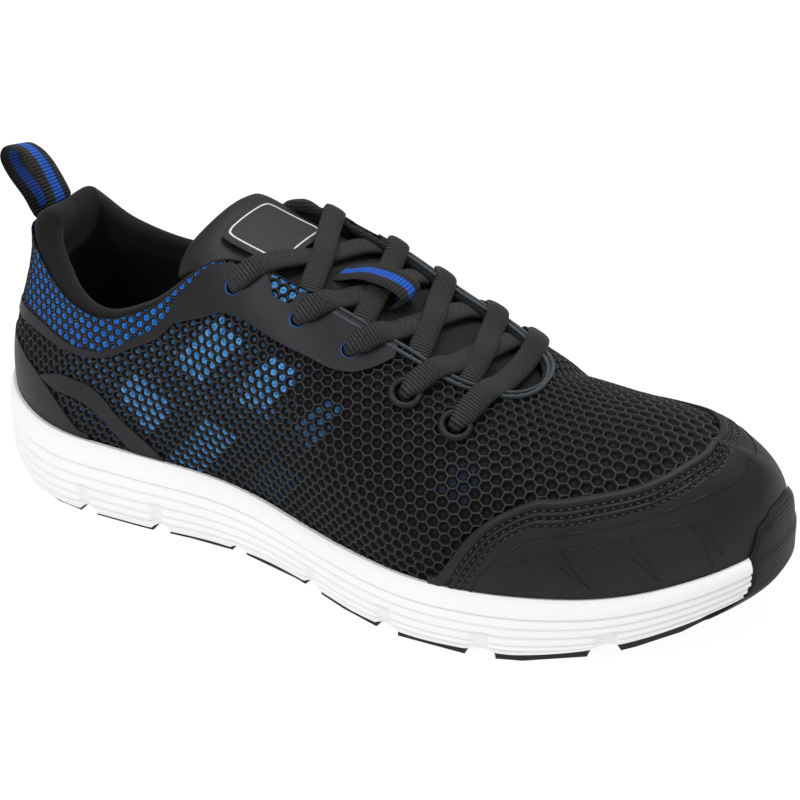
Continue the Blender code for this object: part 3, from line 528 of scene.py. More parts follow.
def on_tongue(x, y, lift):
    """Points over the tongue's outer face at the places x and y, and the ways up there."""
    rows, _ = tongue_rows()
    middle = rows[:, len(TONGUE_LANES) // 2, 0]

    def face(x, y):
        row = np.interp(x, middle, np.arange(len(middle)))
        lanes = smooth(np.arange(len(middle)), rows, row)
        return np.array([smooth(lane[:, 1], lane, np.array([k]))[0] for lane, k in zip(lanes, y)])

    x, y = np.broadcast_arrays(np.asarray(x, float), np.asarray(y, float))
    step = 0.001
    here = face(x, y)
    normal = unit(np.cross(face(x + step, y) - face(x - step, y), face(x, y + step) - face(x, y - step)))
    return here + normal * np.asarray(lift, float)[..., None], normal


# Finishes


class Link:
    """An output of a finish's node, so that its sums are written as plain expressions."""

    def __init__(self, finish, socket):
        self.finish = finish
        self.socket = socket

    def math(self, operation, *others):
        return self.finish.node("ShaderNodeMath", {"operation": operation}, [self, *others])

    def __add__(self, other):
        return self.math("ADD", other)

    __radd__ = __add__

    def __sub__(self, other):
        return self.math("SUBTRACT", other)

    def __rsub__(self, other):
        return self.finish.node("ShaderNodeMath", {"operation": "SUBTRACT"}, [other, self])

    def __mul__(self, other):
        return self.math("MULTIPLY", other)

    __rmul__ = __mul__

    def __truediv__(self, other):
        return self.math("DIVIDE", other)

    def step(self, start, end):
        """0 before start, 1 after end and a soft rise between them."""
        values = {0: self, 1: start, 2: end, 3: 0.0, 4: 1.0}
        return self.finish.node("ShaderNodeMapRange", {"interpolation_type": "SMOOTHSTEP"}, values)


class Finish:
    """A material with one Principled shader."""

    def __init__(self, name, roughness, specular=0.5, sheen=0.0):
        self.material = bpy.data.materials.new(name)
        self.material.use_nodes = True
        self.tree = self.material.node_tree
        self.shader = self.tree.nodes["Principled BSDF"]
        self.shader.inputs["Roughness"].default_value = roughness
        self.shader.inputs["Specular IOR Level"].default_value = specular
        self.shader.inputs["Sheen Weight"].default_value = sheen
        self.shader.inputs["Sheen Roughness"].default_value = 0.5

    def node(self, kind, settings, values, output=0):
        """Adds a node with its settings, then the values or links of its sockets."""
        made = self.tree.nodes.new(kind)
        for name, value in settings.items():
            setattr(made, name, value)
        pairs = values.items() if isinstance(values, dict) else enumerate(values)
        for key, value in pairs:
            self.set(made.inputs[key], value)
        return Link(self, made.outputs[output])

    def set(self, socket, value):
        if isinstance(value, Link):
            self.tree.links.new(value.socket, socket)
        elif isinstance(value, (tuple, list)) and socket.type == "RGBA":
            socket.default_value = (*value[:3], 1)
        else:
            socket.default_value = value

    def place(self):
        """Object coordinates."""
        return self.node("ShaderNodeTexCoord", {}, {}, output="Object")

    def uv(self, name):
        return self.node("ShaderNodeUVMap", {"uv_map": name}, {})

    def attribute(self, name):
        return self.node("ShaderNodeAttribute", {"attribute_name": name}, {}, output="Fac")

    def split(self, vector):
        made = self.tree.nodes.new("ShaderNodeSeparateXYZ")
        self.set(made.inputs[0], vector)
        return tuple(Link(self, output) for output in made.outputs)

    def noise(self, scale, detail=2.0, roughness=0.5):
        values = {"Vector": self.place(), "Scale": scale, "Detail": detail, "Roughness": roughness}
        return self.node("ShaderNodeTexNoise", {}, values)

    def mix(self, factor, first, second):
        values = {0: factor, 6: first, 7: second}
        return self.node("ShaderNodeMix", {"data_type": "RGBA"}, values, output=2)

    def color(self, value):
        self.set(self.shader.inputs["Base Color"], value)

    def rough(self, value):
        self.set(self.shader.inputs["Roughness"], value)

    def bump(self, height, distance, strength=1.0):
        """height runs from 0 to 1 over the distance in metres."""
        values = {"Height": height, "Distance": distance, "Strength": strength}
        self.set(self.shader.inputs["Normal"], self.node("ShaderNodeBump", {}, values))


def wave(link, pitch):
    """A round wave from 0 to 1 with that pitch."""
    return (link * (2 * pi / pitch)).math("SINE") * 0.5 + 0.5


def cloth_finish(name, color, pitch, depth, roughness=0.85):
    """Woven cloth on Object coordinates, with threads both ways."""
    made = Finish(name, roughness, 0.2, 0.08)
    x, y, z = made.split(made.place())
    around = x * 0.8 + y * 0.6
    weave = wave(around + z * 0.2, pitch) * wave(z - around * 0.2 + y * 0.3, pitch)
    grain = made.noise(900.0, 3.0)
    patch = made.noise(60.0, 2.0)
    bright = weave * 0.5 + grain * 0.4 + patch * 0.4
    made.color(made.mix(bright, [c * 0.6 for c in color], [c * 1.7 for c in color]))
    made.bump(weave * 0.7 + grain * 0.3, depth)
    return made


def film_finish():
    """Smooth satin film, with a fine grain, and painted shade in the grooves of its stitched seams, where it
    turns near black.
    """
    made = Finish("smooth_film", 0.5, 0.22)
    grain = made.noise(2600.0, 2.0)
    cloud = made.noise(45.0, 3.0)
    tint = made.mix(cloud.step(0.35, 0.7), (0.0085, 0.0084, 0.0106), (0.0130, 0.0129, 0.0158))
    skin_tone = made.mix(grain.step(0.3, 0.8) * 0.5, tint, (0.020, 0.020, 0.024))
    # Painted shade: the film turns near black in the stitch grooves that the attribute marks.
    made.color(made.mix(made.attribute("groove_shade"), skin_tone, (0.0012, 0.0012, 0.0014)))
    made.rough(0.40 + 0.14 * cloud + 0.08 * grain)
    made.bump(grain * 0.6 + cloud * 0.4, 0.00006)
    return made


def net_finish():
    """Raised honeycomb in black film over blue cloth that shows in round openings, with a painted highlight
    on the ribs' crests and painted shade down the cell walls.
    """
    made = Finish("honeycomb_net", 0.5, 0.2)
    x, y, _ = made.split(made.uv("cell"))
    spot = made.attribute("spot")
    blue = made.attribute("blue")
    deep = made.attribute("deep")
    top = made.attribute("top")
    fuzz = made.noise(1900.0, 2.0)
    radius = (x * x + y * y).math("SQRT") + (fuzz - 0.5) * 0.5
    inside = 1.0 - (radius - spot).step(-0.10, 0.16)
    thread = made.noise(1300.0, 1.0)
    middle = (radius / (spot + 0.01)).step(0.05, 0.5)
    light = made.mix(thread.step(0.35, 0.65), (0.020, 0.125, 0.40), (0.12, 0.44, 0.86))
    strong = made.mix(thread.step(0.35, 0.65), (0.005, 0.068, 0.31), (0.016, 0.20, 0.70))
    cloth = made.mix(deep, light, strong)
    cloth = made.mix(middle * 0.7 + 0.3, (0.004, 0.035, 0.15), cloth)
    cloth = made.mix(blue, (0.003, 0.0032, 0.0042), cloth)
    # Painted highlight and shade: the ribs' crests are lighter, their walls near black down into the cells.
    rib = made.mix(top, (0.0010, 0.0010, 0.0012), (0.030, 0.029, 0.032))
    made.color(made.mix(inside, rib, cloth))
    made.rough(0.30 + 0.40 * (1.0 - top) + 0.12 * thread)
    made.bump(thread, 0.00010)
    return made


def foam_finish():
    """Moulded white foam with a fine skin, and painted shade in the grooves between its ribs and in its
    notches.
    """
    made = Finish("white_foam", 0.55, 0.4)
    grain = made.noise(1500.0, 2.0)
    cloud = made.noise(30.0, 3.0)
    groove = made.attribute("groove")
    tint = made.mix(cloud, (0.90, 0.90, 0.91), (0.94, 0.94, 0.95))
    # Painted shade: the foam turns grey in its grooves and notches.
    made.color(made.mix(groove * 0.22, tint, (0.50, 0.51, 0.53)))
    made.bump(grain, 0.00005)
    return made


def rubber_finish():
    """Matt rubber with a fine grain."""
    made = Finish("black_rubber", 0.62, 0.3)
    grain = made.noise(1800.0, 3.0)
    cloud = made.noise(40.0, 3.0)
    made.color(made.mix(cloud, (0.008, 0.008, 0.009), (0.016, 0.016, 0.018)))
    made.rough(0.55 + 0.2 * cloud)
    made.bump(grain, 0.00012)
    return made


def bumper_finish():
    """Rubber with fine ribs across the toe, with painted shade in the troughs between them."""
    made = Finish("bumper_rubber", 0.55, 0.22)
    _, high, _ = made.split(made.uv("along"))
    ribs = wave(high, 0.0013) * made.attribute("ribbed")
    grain = made.noise(1800.0, 3.0)
    cloud = made.noise(40.0, 3.0)
    # Painted shade and highlight: darker between the ribs and lighter on them, with a cloudy tone of its own.
    made.color(made.mix(ribs * 0.6 + cloud * 0.4, (0.007, 0.007, 0.008), (0.019, 0.019, 0.021)))
    made.rough(0.48 + 0.2 * cloud)
    made.bump(ribs * 0.85 + grain * 0.15, 0.0004)
    return made


def tongue_finish():
    """Smooth grain at the padded top and rib knit below it, with painted highlight on the knit's ribs."""
    made = Finish("tongue_skin", 0.5, 0.28)
    x, y, z = made.split(made.place())
    grain = made.noise(1100.0, 4.0, 0.6)
    knit = wave(y, 0.0016) * (wave(x, 0.0011) * 0.5 + 0.5)
    below = x.step(0.083, 0.089)
    height = grain * 0.3 * (1.0 - below) + knit * below
    # Painted highlight and shade: the knit is lighter on its ribs and darker between them.
    made.color(made.mix(knit * below, (0.0072, 0.0072, 0.0088), (0.016, 0.016, 0.018)))
    made.rough(0.48 + 0.35 * below + 0.1 * grain)
    made.bump(height, 0.00035)
    return made


def lace_finish():
    """Thick cord with cross ribs and twisted threads."""
    made = Finish("lace_cloth", 0.55, 0.28, 0.03)
    u, v, _ = made.split(made.uv("along"))
    rib = wave(v, 0.00115)
    thread = wave(u * 0.4 + v * 0.6, 0.0005)
    grain = made.noise(1500.0, 3.0)
    shade = rib * 0.75 + thread * 0.2 + grain * 0.2
    made.color(made.mix(shade, (0.0005, 0.0005, 0.0006), (0.021, 0.021, 0.023)))
    made.bump(rib * 0.8 + thread * 0.12 + grain * 0.15, 0.0008)
    return made


def webbing_finish(stripe, name):
    """Ribbed webbing with a blue stripe in its middle. stripe is half its width in metres."""
    made = Finish(name, 0.7, 0.2, 0.05)
    u, v, _ = made.split(made.uv("along"))
    rib = wave(v, 0.0013)
    thread = wave(u, 0.0009)
    blue = 1.0 - u.math("ABSOLUTE").step(stripe - 0.0002, stripe + 0.0002)
    shade = rib * 0.7 + thread * 0.3
    black = made.mix(shade, (0.002, 0.002, 0.0025), (0.014, 0.014, 0.016))
    bright = made.mix(shade, (0.001, 0.020, 0.16), (0.004, 0.12, 0.62))
    made.color(made.mix(blue, black, bright))
    made.bump(rib * 0.8 + thread * 0.2, 0.0004)
    return made


def badge_finish():
    """A bare patch with a stitched pale border."""
    made = Finish("badge", 0.6, 0.3)
    across, along, _ = made.split(made.uv("patch"))
    rim = across.math("MAXIMUM", along)
    line = rim.step(0.815, 0.83) * (1.0 - rim.step(0.86, 0.875))
    grain = made.noise(1400.0, 2.0)
    thread = made.noise(2200.0, 1.0)
    plain = made.mix(grain, (0.008, 0.008, 0.009), (0.020, 0.020, 0.022))
    made.color(made.mix(line, plain, made.mix(thread, (0.42, 0.43, 0.45), (0.80, 0.81, 0.83))))
    made.bump(line * 0.7 + grain * 0.3, 0.0003)
    return made


def plain_finish(name, color, roughness):
    """One colour with a little grain."""
    made = Finish(name, roughness)
    grain = made.noise(700.0, 2.0)
    made.color(made.mix(grain, [c * 0.92 for c in color], [min(c * 1.06, 1) for c in color]))
    return made


FILM = film_finish()
NET = net_finish()
LINING = cloth_finish("soft_lining", (0.0050, 0.0048, 0.0054), 0.0011, 0.00012, 0.95)
CLOTH = cloth_finish("net_cloth", (0.006, 0.006, 0.007), 0.0011, 0.0002)
FOAM = foam_finish()
RUBBER = rubber_finish()
BUMPER_RUBBER = bumper_finish()
TONGUE_SKIN = tongue_finish()
LACE_CLOTH = lace_finish()
MESH_CLOTH = cloth_finish("spacer_mesh", (0.010, 0.010, 0.011), 0.0013, 0.0006)
LOOP_WEBBING = webbing_finish(0.0027, "webbing")
KEEPER_WEBBING = webbing_finish(0.0023, "keeper_webbing")
BADGE = badge_finish()
BINDING = cloth_finish("throat_binding", (0.030, 0.036, 0.042), 0.0008, 0.0001, 0.4)
EYELET_CLOTH = cloth_finish("eyelet_cloth", (0.012, 0.085, 0.26), 0.0007, 0.0001)
THREAD = plain_finish("thread", (0.010, 0.010, 0.011), 0.45)
INSOLE_CLOTH = cloth_finish("insole_cloth", (0.008, 0.008, 0.009), 0.0014, 0.0002)


# Helpers


def settle(obj):
    """Makes obj the only selected and active object."""
    bpy.ops.object.select_all(action="DESELECT")
    obj.select_set(True)
    bpy.context.view_layer.objects.active = obj


def apply_modifiers(obj):
    """Applies the piece's modifiers in their order."""
    settle(obj)
    for modifier in list(obj.modifiers):
        bpy.ops.object.modifier_apply(modifier=modifier.name)


def mesh_piece(name, points, faces, finish, uv=None, uv_name="along", attributes=None, outward=None):
    """A piece from points and faces. outward is a direction for the first face's normal."""
    mesh = bpy.data.meshes.new(name)
    mesh.from_pydata(np.asarray(points, float).reshape(-1, 3).tolist(), [], faces)
    made = bpy.data.objects.new(name, mesh)
    bpy.context.scene.collection.objects.link(made)
    mesh.materials.append(finish.material)
    if uv is not None:
        layer = mesh.uv_layers.new(name=uv_name)
        corners = np.zeros(len(mesh.loops), np.int32)
        mesh.loops.foreach_get("vertex_index", corners)
        layer.data.foreach_set("uv", np.asarray(uv, float).reshape(-1, 2)[corners].ravel())
    for key, values in (attributes or {}).items():
        layer = mesh.attributes.new(key, "FLOAT", "POINT")
        layer.data.foreach_set("value", np.asarray(values, float).ravel())
    if outward is not None and Vector(outward).dot(mesh.polygons[0].normal) < 0:
        mesh.flip_normals()
    mesh.shade_smooth()
    return made


def close_up(obj):
    """Joins the points that meet and turns the faces outwards."""
    settle(obj)
    bpy.ops.object.mode_set(mode="EDIT")
    bpy.ops.mesh.select_all(action="SELECT")
    bpy.ops.mesh.remove_doubles(threshold=1e-6)
    bpy.ops.mesh.fill_holes(sides=0)
    bpy.ops.mesh.normals_make_consistent(inside=False)
    bpy.ops.object.mode_set(mode="OBJECT")


def grid_faces(rows, columns, wrapped=False, ringed=False):
    """Faces between rows of points. wrapped joins the last row to the first, and ringed each row's ends."""
    faces = []
    for i in range(rows if wrapped else rows - 1):
        a, b = i * columns, (i + 1) % rows * columns
        for j in range(columns if ringed else columns - 1):
            n = (j + 1) % columns
            faces.append((a + j, b + j, b + n, a + n))
    return faces


def finish_piece(obj, replaces=(), angle=40):
    """Applies the modifiers, smooths the shading and hands the piece to the frame."""
    apply_modifiers(obj)
    settle(obj)
    bpy.ops.object.shade_smooth_by_angle(angle=radians(angle))
    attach(obj, "root")
    if replaces:
        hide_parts(*replaces)
    return obj


def thicken(obj, thickness):
    """Gives a sheet its thickness under its face."""
    wall = obj.modifiers.new("wall", "SOLIDIFY")
    wall.thickness = thickness
    wall.offset = -1
    return wall


def panel(name, w, low, high, rows, thickness, replaces, relief=None):
    """A film overlay on the upper between two borders, with soft edges."""
    share = (1 - np.cos(np.linspace(0, pi, rows))) / 2
    v = low[:, None] * (1 - share) + high[:, None] * share
    ring = w[:, None] + 0 * v
    # The relief's second value marks the grooves where shade is painted into the film.
    height, groove_shade = relief(ring, v) if relief else (0.0, 0 * v)
    points = skin(ring, v, thickness + height)
    faces = grid_faces(len(w), rows)
    outward = face_normal(w[0], v[0, 0])
    made = mesh_piece(name, points, faces, FILM, attributes={"groove_shade": groove_shade}, outward=outward)
    thicken(made, thickness)
    soft = made.modifiers.new("soft", "BEVEL")
    soft.width = FILM_SOFT
    soft.segments = 2
    soft.limit_method = "ANGLE"
    soft.angle_limit = radians(60)
    return finish_piece(made, replaces, 50)


def sweep(name, path, ups, across, over, lanes, finish, closed=False):
    """A piece swept along a path. Its section runs across and over it, and its UV map along the lanes."""
    tangent = np.roll(path, -1, 0) - np.roll(path, 1, 0) if closed else np.gradient(path, axis=0)
    side = unit(np.cross(ups, tangent))
    rise = unit(np.cross(tangent, side))
    points = path[:, None] + side[:, None] * across[..., None] + rise[:, None] * over[..., None]
    uv = np.stack(np.broadcast_arrays(lanes[None, :], distances(path)[:, None]), -1)
    made = mesh_piece(name, points, grid_faces(len(path), len(lanes), wrapped=closed), finish, uv)
    close_up(made)
    return made


def tube(name, path, radius, finish, sides=8, ups=UP):
    """A round cord along a path."""
    angle = np.linspace(0, 2 * pi, sides + 1)
    thick = np.broadcast_to(radius, len(path))[:, None]
    lanes = angle * np.max(radius) * 2 / pi
    made = sweep(name, path, ups, thick * np.cos(angle), thick * np.sin(angle), lanes, finish)
    return finish_piece(made, (), 60)


def joined(name, pieces):
    """One piece from many."""
    bpy.ops.object.select_all(action="DESELECT")
    for piece in pieces:
        piece.select_set(True)
    bpy.context.view_layer.objects.active = pieces[0]
    bpy.ops.object.join()
    pieces[0].name = name
    pieces[0].data.name = name
    return pieces[0]


# Camera, floor and light


def set_camera():
    """The photo's view of the shoe."""
    turn = radians(CAMERA_TURN)
    rise = radians(CAMERA_RISE)
    roll = radians(CAMERA_ROLL)
    back = Vector((sin(turn) * cos(rise), -cos(turn) * cos(rise), sin(rise)))
    right = Vector((cos(turn), sin(turn), 0))
    up = back.cross(right)
    across = right * cos(roll) + up * sin(roll)
    upright = up * cos(roll) - right * sin(roll)
    lens = bpy.data.cameras.new("camera")
    lens.lens = CAMERA_LENS
    lens.sensor_width = SENSOR
    lens.sensor_fit = "HORIZONTAL"
    lens.shift_x, lens.shift_y = CAMERA_SHIFT
    lens.clip_start = 0.01
    camera = bpy.data.objects.new("camera", lens)
    bpy.context.scene.collection.objects.link(camera)
    place = Vector(CAMERA_AIM) + back * CAMERA_DISTANCE
    turned = Matrix((across, upright, back)).transposed().to_4x4()
    camera.matrix_world = Matrix.Translation(place) @ turned
    bpy.context.scene.camera = camera


def lay_table():
    """A white table lit from below."""
    bpy.ops.mesh.primitive_plane_add(size=TABLE_SIZE, location=(0, 0, -TABLE_DROP))
    floor = bpy.context.object
    floor.name = "floor"
    # The glow leaves nearly no shadow on the table
    pale = Finish("pale_floor", 0.6, 0.0)
    fade = pale.noise(2.0)
    pale.color(pale.mix(fade, (0.10, 0.10, 0.10), (0.11, 0.11, 0.11)))
    pale.shader.inputs["Emission Color"].default_value = (1, 1, 1, 1)
    pale.shader.inputs["Emission Strength"].default_value = TABLE_GLOW
    floor.data.materials.append(pale.material)


def light_up():
    """A white surround and soft lamps."""
    world = bpy.data.worlds.new("studio")
    bpy.context.scene.world = world
    world.use_nodes = True
    background = world.node_tree.nodes["Background"]
    background.inputs["Color"].default_value = (1, 1, 1, 1)
    background.inputs["Strength"].default_value = SURROUND
    for name, place, size, power in LAMPS:
        light = bpy.data.lights.new(name, "AREA")
        light.energy = power
        light.size = size
        made = bpy.data.objects.new(name, light)
        bpy.context.scene.collection.objects.link(made)
        made.location = place
        made.rotation_euler = (Vector(LAMP_AIM) - made.location).to_track_quat("-Z", "Y").to_euler()
    bpy.context.scene.view_settings.view_transform = "Standard"


# Upper


def ring_places(side):
    """The places of one side, then the same places back along the other side."""
    return np.concatenate([side, 2 - side[-2:0:-1]])


def shell():
    """The cloth wall with its padded collar, rolled round at the collar and at the throat."""
    side = np.unique(np.append(np.linspace(0, 1, 131), RIDGE_START))
    w = ring_places(side)
    v = np.linspace(0, 1, 31)
    ring, height = np.meshgrid(w, v, indexing="ij")
    height = height * top_share(side_of(w)[0])[:, None]
    heel = 1 - ease(side_of(w)[0], 0.06, 0.22)[:, None]
    thick = WALL + (COLLAR_PAD + HEEL_PAD * heel) * padding(ring, height)
    outer = skin(ring, height, NET_CLOTH_LIFT)
    inner = skin(ring, height, NET_CLOTH_LIFT - thick)
    other = (len(w) - np.arange(len(w))) % len(w)
    ridge = side_of(w)[0] >= RIDGE_START
    for face in (outer, inner):
        face[ridge, -1] = ((face[:, -1] + face[other, -1]) / 2)[ridge]
    centre = (outer[:, -1] + inner[:, -1]) / 2
    across = (outer[:, -1] - inner[:, -1]) / 2
    radius = np.linalg.norm(across, axis=1, keepdims=True)
    away = outer[:, -1] - outer[:, -3]
    away -= across * (away * across).sum(1, keepdims=True) / radius**2
    away *= radius / np.linalg.norm(away, axis=1, keepdims=True)
    turn = np.linspace(0, pi, 9)[1:-1]
    roll = centre[:, None] + across[:, None] * np.cos(turn)[:, None] + away[:, None] * np.sin(turn)[:, None]
    roll[ridge] = ((roll + roll[other]) / 2)[ridge]
    lanes = np.concatenate([outer, roll, inner[:, ::-1]], 1)
    columns = lanes.shape[1]
    faces = []
    for i in range(len(w)):
        k = (i + 1) % len(w)
        for j in range(columns - 1):
            on_roll = len(v) - 1 <= j < len(v) - 1 + len(turn) + 1
            if on_roll and ridge[i] and ridge[k]:
                continue
            faces.append((i * columns + j, k * columns + j, k * columns + j + 1, i * columns + j + 1))
        faces.append((i * columns, i * columns + columns - 1, k * columns + columns - 1, k * columns))
    made = mesh_piece("upper_wall", lanes, faces, LINING)
    made.data.materials.append(CLOTH.material)
    for face in made.data.polygons:
        if min(index % columns for index in face.vertices) < len(v) - 2:
            face.material_index = 1
    close_up(made)
    return finish_piece(made, ["upper"], 60)


# Corners of the blue blocks in the net, and how bright each one is
BLOCKS = (
    (1.00, (0.344, 0.663), (0.406, 0.785), (0.440, 0.675), (0.375, 0.490)),
    (1.00, (0.413, 0.430), (0.472, 0.690), (0.515, 0.712), (0.455, 0.415)),
    (1.00, (0.262, 0.500), (0.293, 0.600), (0.336, 0.438), (0.296, 0.215)),
    (0.95, (0.308, 0.060), (0.372, 0.340), (0.408, 0.275), (0.350, 0.020)),
    (0.26, (0.489, 0.413), (0.537, 0.650), (0.560, 0.650), (0.513, 0.375)),
    (0.18, (0.406, 0.062), (0.444, 0.235), (0.484, 0.225), (0.448, 0.060)),
    (0.02, (0.640, 0.470), (0.661, 0.630), (0.682, 0.612), (0.668, 0.450)),
)
# Radius in mm of the blue that shows in an opening, and what the blocks and places near them add
DOT = 0.42
DOT_FADE = 0.30
DOT_BLOCK = 0.62
DOT_COLLAR = 1.16
DOT_WINDOW = 1.20
RING_SCALE = 330.0  # mm along the ring for one unit of place
HEIGHT_SCALE = 75.0  # mm up the upper for one unit of height


def in_block(t, v):
    """How far inside the blue blocks a place lies, and how bright it is there, both from 0 to 1."""
    found = np.zeros_like(t)
    bright = np.zeros_like(t)
    for light, *corners in BLOCKS:
        points = np.array(corners) * (RING_SCALE, HEIGHT_SCALE)
        inside = np.full_like(t, 1e9)
        for (ax, ay), (bx, by) in zip(points, np.roll(points, -1, 0)):
            length = np.hypot(bx - ax, by - ay)
            turned = ((t * RING_SCALE - ax) * (by - ay) - (v * HEIGHT_SCALE - ay) * (bx - ax)) / length
            inside = np.minimum(inside, turned)
        share = ease(inside, -1.0, 1.0)
        found = np.maximum(found, share)
        bright = np.maximum(bright, share * light)
    return found, bright


def top_share(t):
    """The net and the cloth stop short of the collar's edge, where the roll begins."""
    return 1 - COLLAR_ROLL * (1 - ease(t, 0.33, 0.41)) * (1 + 0.6 * (1 - ease(t, 0.06, 0.22)))


def covered(w, v):
    """Whether an overlay hides this place of the upper."""
    t, _ = side_of(w)
    margin = 0.008
    hidden = (t > 0.634) & (v < cap_edge(w)[0] - margin)
    hidden |= (t < 0.220) & (v < COUNTER_BORDER.at("high", t) - margin)
    borders = ((STRAP_BORDER, 0.155, 0.31), (STRIP_BORDER, 0, 0.347), (STAY_BORDER, 0.36, 0.594))
    for border, start, end in borders:
        low = border.at("low", t) + margin
        high = notched(t, border.at("high", t)) if border is STAY_BORDER else border.at("high", t)
        hidden |= (t > start) & (t < end) & (v > low) & (v < high - margin)
    return hidden


def notched(t, high):
    """The eyestay's upper border with its window between the first two eyelets."""
    return high - STAY_NOTCH_DEPTH * (1 - ease(abs(t - STAY_NOTCH), 0.008, 0.019))


def flat_pattern():
    """The upper's face as a flat pattern cut at the heel: corners in metres, and their places and heights."""
    half = np.unique(np.append(np.linspace(0.003, 1, 101), RIDGE_START))
    w = np.concatenate([half, 2 - half[-2::-1]])
    share = np.linspace(0.02, 1, 26)
    v = share * top_share(side_of(w)[0])[:, None]
    rows, columns = v.shape
    index = np.arange(rows * columns).reshape(rows, columns)
    for i in range(rows):
        if w[i] > 1 and 2 - w[i] >= RIDGE_START - 1e-9:
            index[i, -1] = index[rows - 1 - i, -1]
    points = skin(w[:, None], v).reshape(-1, 3)
    corners = []
    for i in range(rows - 1):
        for j in range(columns - 1):
            corners.append(((i, j), (i + 1, j), (i + 1, j + 1), (i, j + 1)))
    faces = [tuple(int(index[c]) for c in face) for face in corners]
    keep = [k for k, face in enumerate(faces) if len(set(face)) == 4]
    mesh = bpy.data.meshes.new("flat_pattern")
    mesh.from_pydata(points.tolist(), [], [faces[k] for k in keep])
    made = bpy.data.objects.new("flat_pattern", mesh)
    bpy.context.scene.collection.objects.link(made)
    mesh.uv_layers.new(name="flat")
    settle(made)
    bpy.ops.object.mode_set(mode="EDIT")
    bpy.ops.mesh.select_all(action="SELECT")
    bpy.ops.uv.unwrap(method="ANGLE_BASED", margin=0)
    bpy.ops.object.mode_set(mode="OBJECT")
    flat = np.zeros(len(mesh.loops) * 2)
    mesh.uv_layers["flat"].data.foreach_get("uv", flat)
    flat = flat.reshape(-1, 4, 2)
    grid = np.array([[(w[i], v[i, j]) for i, j in corners[k]] for k in keep])
    solid = points[np.array([faces[k] for k in keep])]
    bpy.data.objects.remove(made)

    def area(quads):
        first = np.cross(quads[:, 1] - quads[:, 0], quads[:, 2] - quads[:, 0])
        second = np.cross(quads[:, 2] - quads[:, 0], quads[:, 3] - quads[:, 0])
        return np.linalg.norm(first.reshape(len(quads), -1), axis=1) + np.linalg.norm(
            second.reshape(len(quads), -1), axis=1
        )

    scale = np.sqrt(np.median(area(solid) / np.maximum(area(flat), 1e-12)))
    return flat * scale, grid, solid


def net_directions(flat, grid, solid):
    """The directions along and across the rows, read where the outer side is flattest."""
    middle = np.argmin(((grid.mean(1) - (0.5, 0.6)) ** 2).sum(1))
    edges_flat = flat[middle, 1:3] - flat[middle, 0]
    edges_solid = (solid[middle, 1:3] - solid[middle, 0])[:, [0, 2]]
    fall = np.array([cos(radians(NET_TURN)), sin(radians(NET_TURN))])
    row = np.linalg.solve(edges_solid.T, fall) @ edges_flat
    row /= np.linalg.norm(row)
    return row, np.array([-row[1], row[0]])


def flat_finder(flat, grid):
    """A search by flat points for their ring places and heights, and how far outside the pattern they lie."""
    triangles = np.concatenate([flat[:, [0, 1, 2]], flat[:, [0, 2, 3]]])
    places = np.concatenate([grid[:, [0, 1, 2]], grid[:, [0, 2, 3]]])
    corners = np.concatenate([triangles.reshape(-1, 2), np.zeros((len(triangles) * 3, 1))], 1)
    tree = BVHTree.FromPolygons(corners.tolist(), np.arange(len(corners)).reshape(-1, 3).tolist())

    def find(points):
        hits = [tree.find_nearest((x, y, 0)) for x, y in points]
        number = np.array([hit[2] for hit in hits])
        near = np.array([hit[0][:2] for hit in hits])
        away = np.array([hit[3] for hit in hits])
        a, b, c = (triangles[number, k] for k in range(3))
        whole = (b[:, 0] - a[:, 0]) * (c[:, 1] - a[:, 1]) - (b[:, 1] - a[:, 1]) * (c[:, 0] - a[:, 0])
        second = ((near - a)[:, 0] * (c - a)[:, 1] - (near - a)[:, 1] * (c - a)[:, 0]) / whole
        third = ((b - a)[:, 0] * (near - a)[:, 1] - (b - a)[:, 1] * (near - a)[:, 0]) / whole
        share = np.clip(np.stack([1 - second - third, second, third], 1), 0, 1)
        return (places[number] * share[:, :, None]).sum(1), away

    return find


def cell_centres(flat, row, up_row):
    """Staggered rows of places over the whole flat pattern, one pitch apart."""
    low, high = flat.reshape(-1, 2).min(0), flat.reshape(-1, 2).max(0)
    reach = np.linalg.norm(high - low) / 2
    count = int(reach / NET_PITCH * 1.3)
    step = np.arange(-count, count + 1)
    i, j = np.meshgrid(step, step)
    middle = (low + high) / 2
    centres = middle + ((i + j * 0.5) * NET_PITCH)[..., None] * row
    centres = centres + (j * NET_PITCH * sqrt(0.75))[..., None] * up_row
    centres = centres.reshape(-1, 2)
    return centres[((centres > low - NET_PITCH) & (centres < high + NET_PITCH)).all(1)]


def net_cells(find, centres, corner):
    """The cells that show: places and points of their middles, and places of their six corners."""
    spots, away = find(centres)
    centres, spots = centres[away < NET_PITCH * 0.5], spots[away < NET_PITCH * 0.5]
    rim, _ = find((centres[:, None] + corner).reshape(-1, 2))
    rim = rim.reshape(-1, 6, 2)
    here = skin(spots[:, 0], spots[:, 1])
    keep = ~(covered(*spots.T) & covered(*np.moveaxis(rim, 2, 0)).all(1))
    for number, (place, height) in enumerate(EYELETS):
        for w in (place, 2 - place):
            near = np.linalg.norm(here - skin(w, height), axis=1)
            keep &= near > NET_CLEAR[number >= STAY_EYELETS]
    return spots[keep], here[keep], rim[keep]


def cell_faces():
    """A cell's faces: from six crest points over six inner ones and twelve of the wall to its middle."""
    faces = []
    for k in range(6):
        n = (k + 1) % 6
        here, half, following = 12 + 2 * k, 13 + 2 * k, 12 + 2 * n
        faces.append((k, n, 6 + n, 6 + k))
        faces.append((6 + k, 6 + n, half, here))
        faces.append((6 + n, following, half))
        faces.append((here, half, CELL_POINTS - 1))
        faces.append((half, following, CELL_POINTS - 1))
    return faces


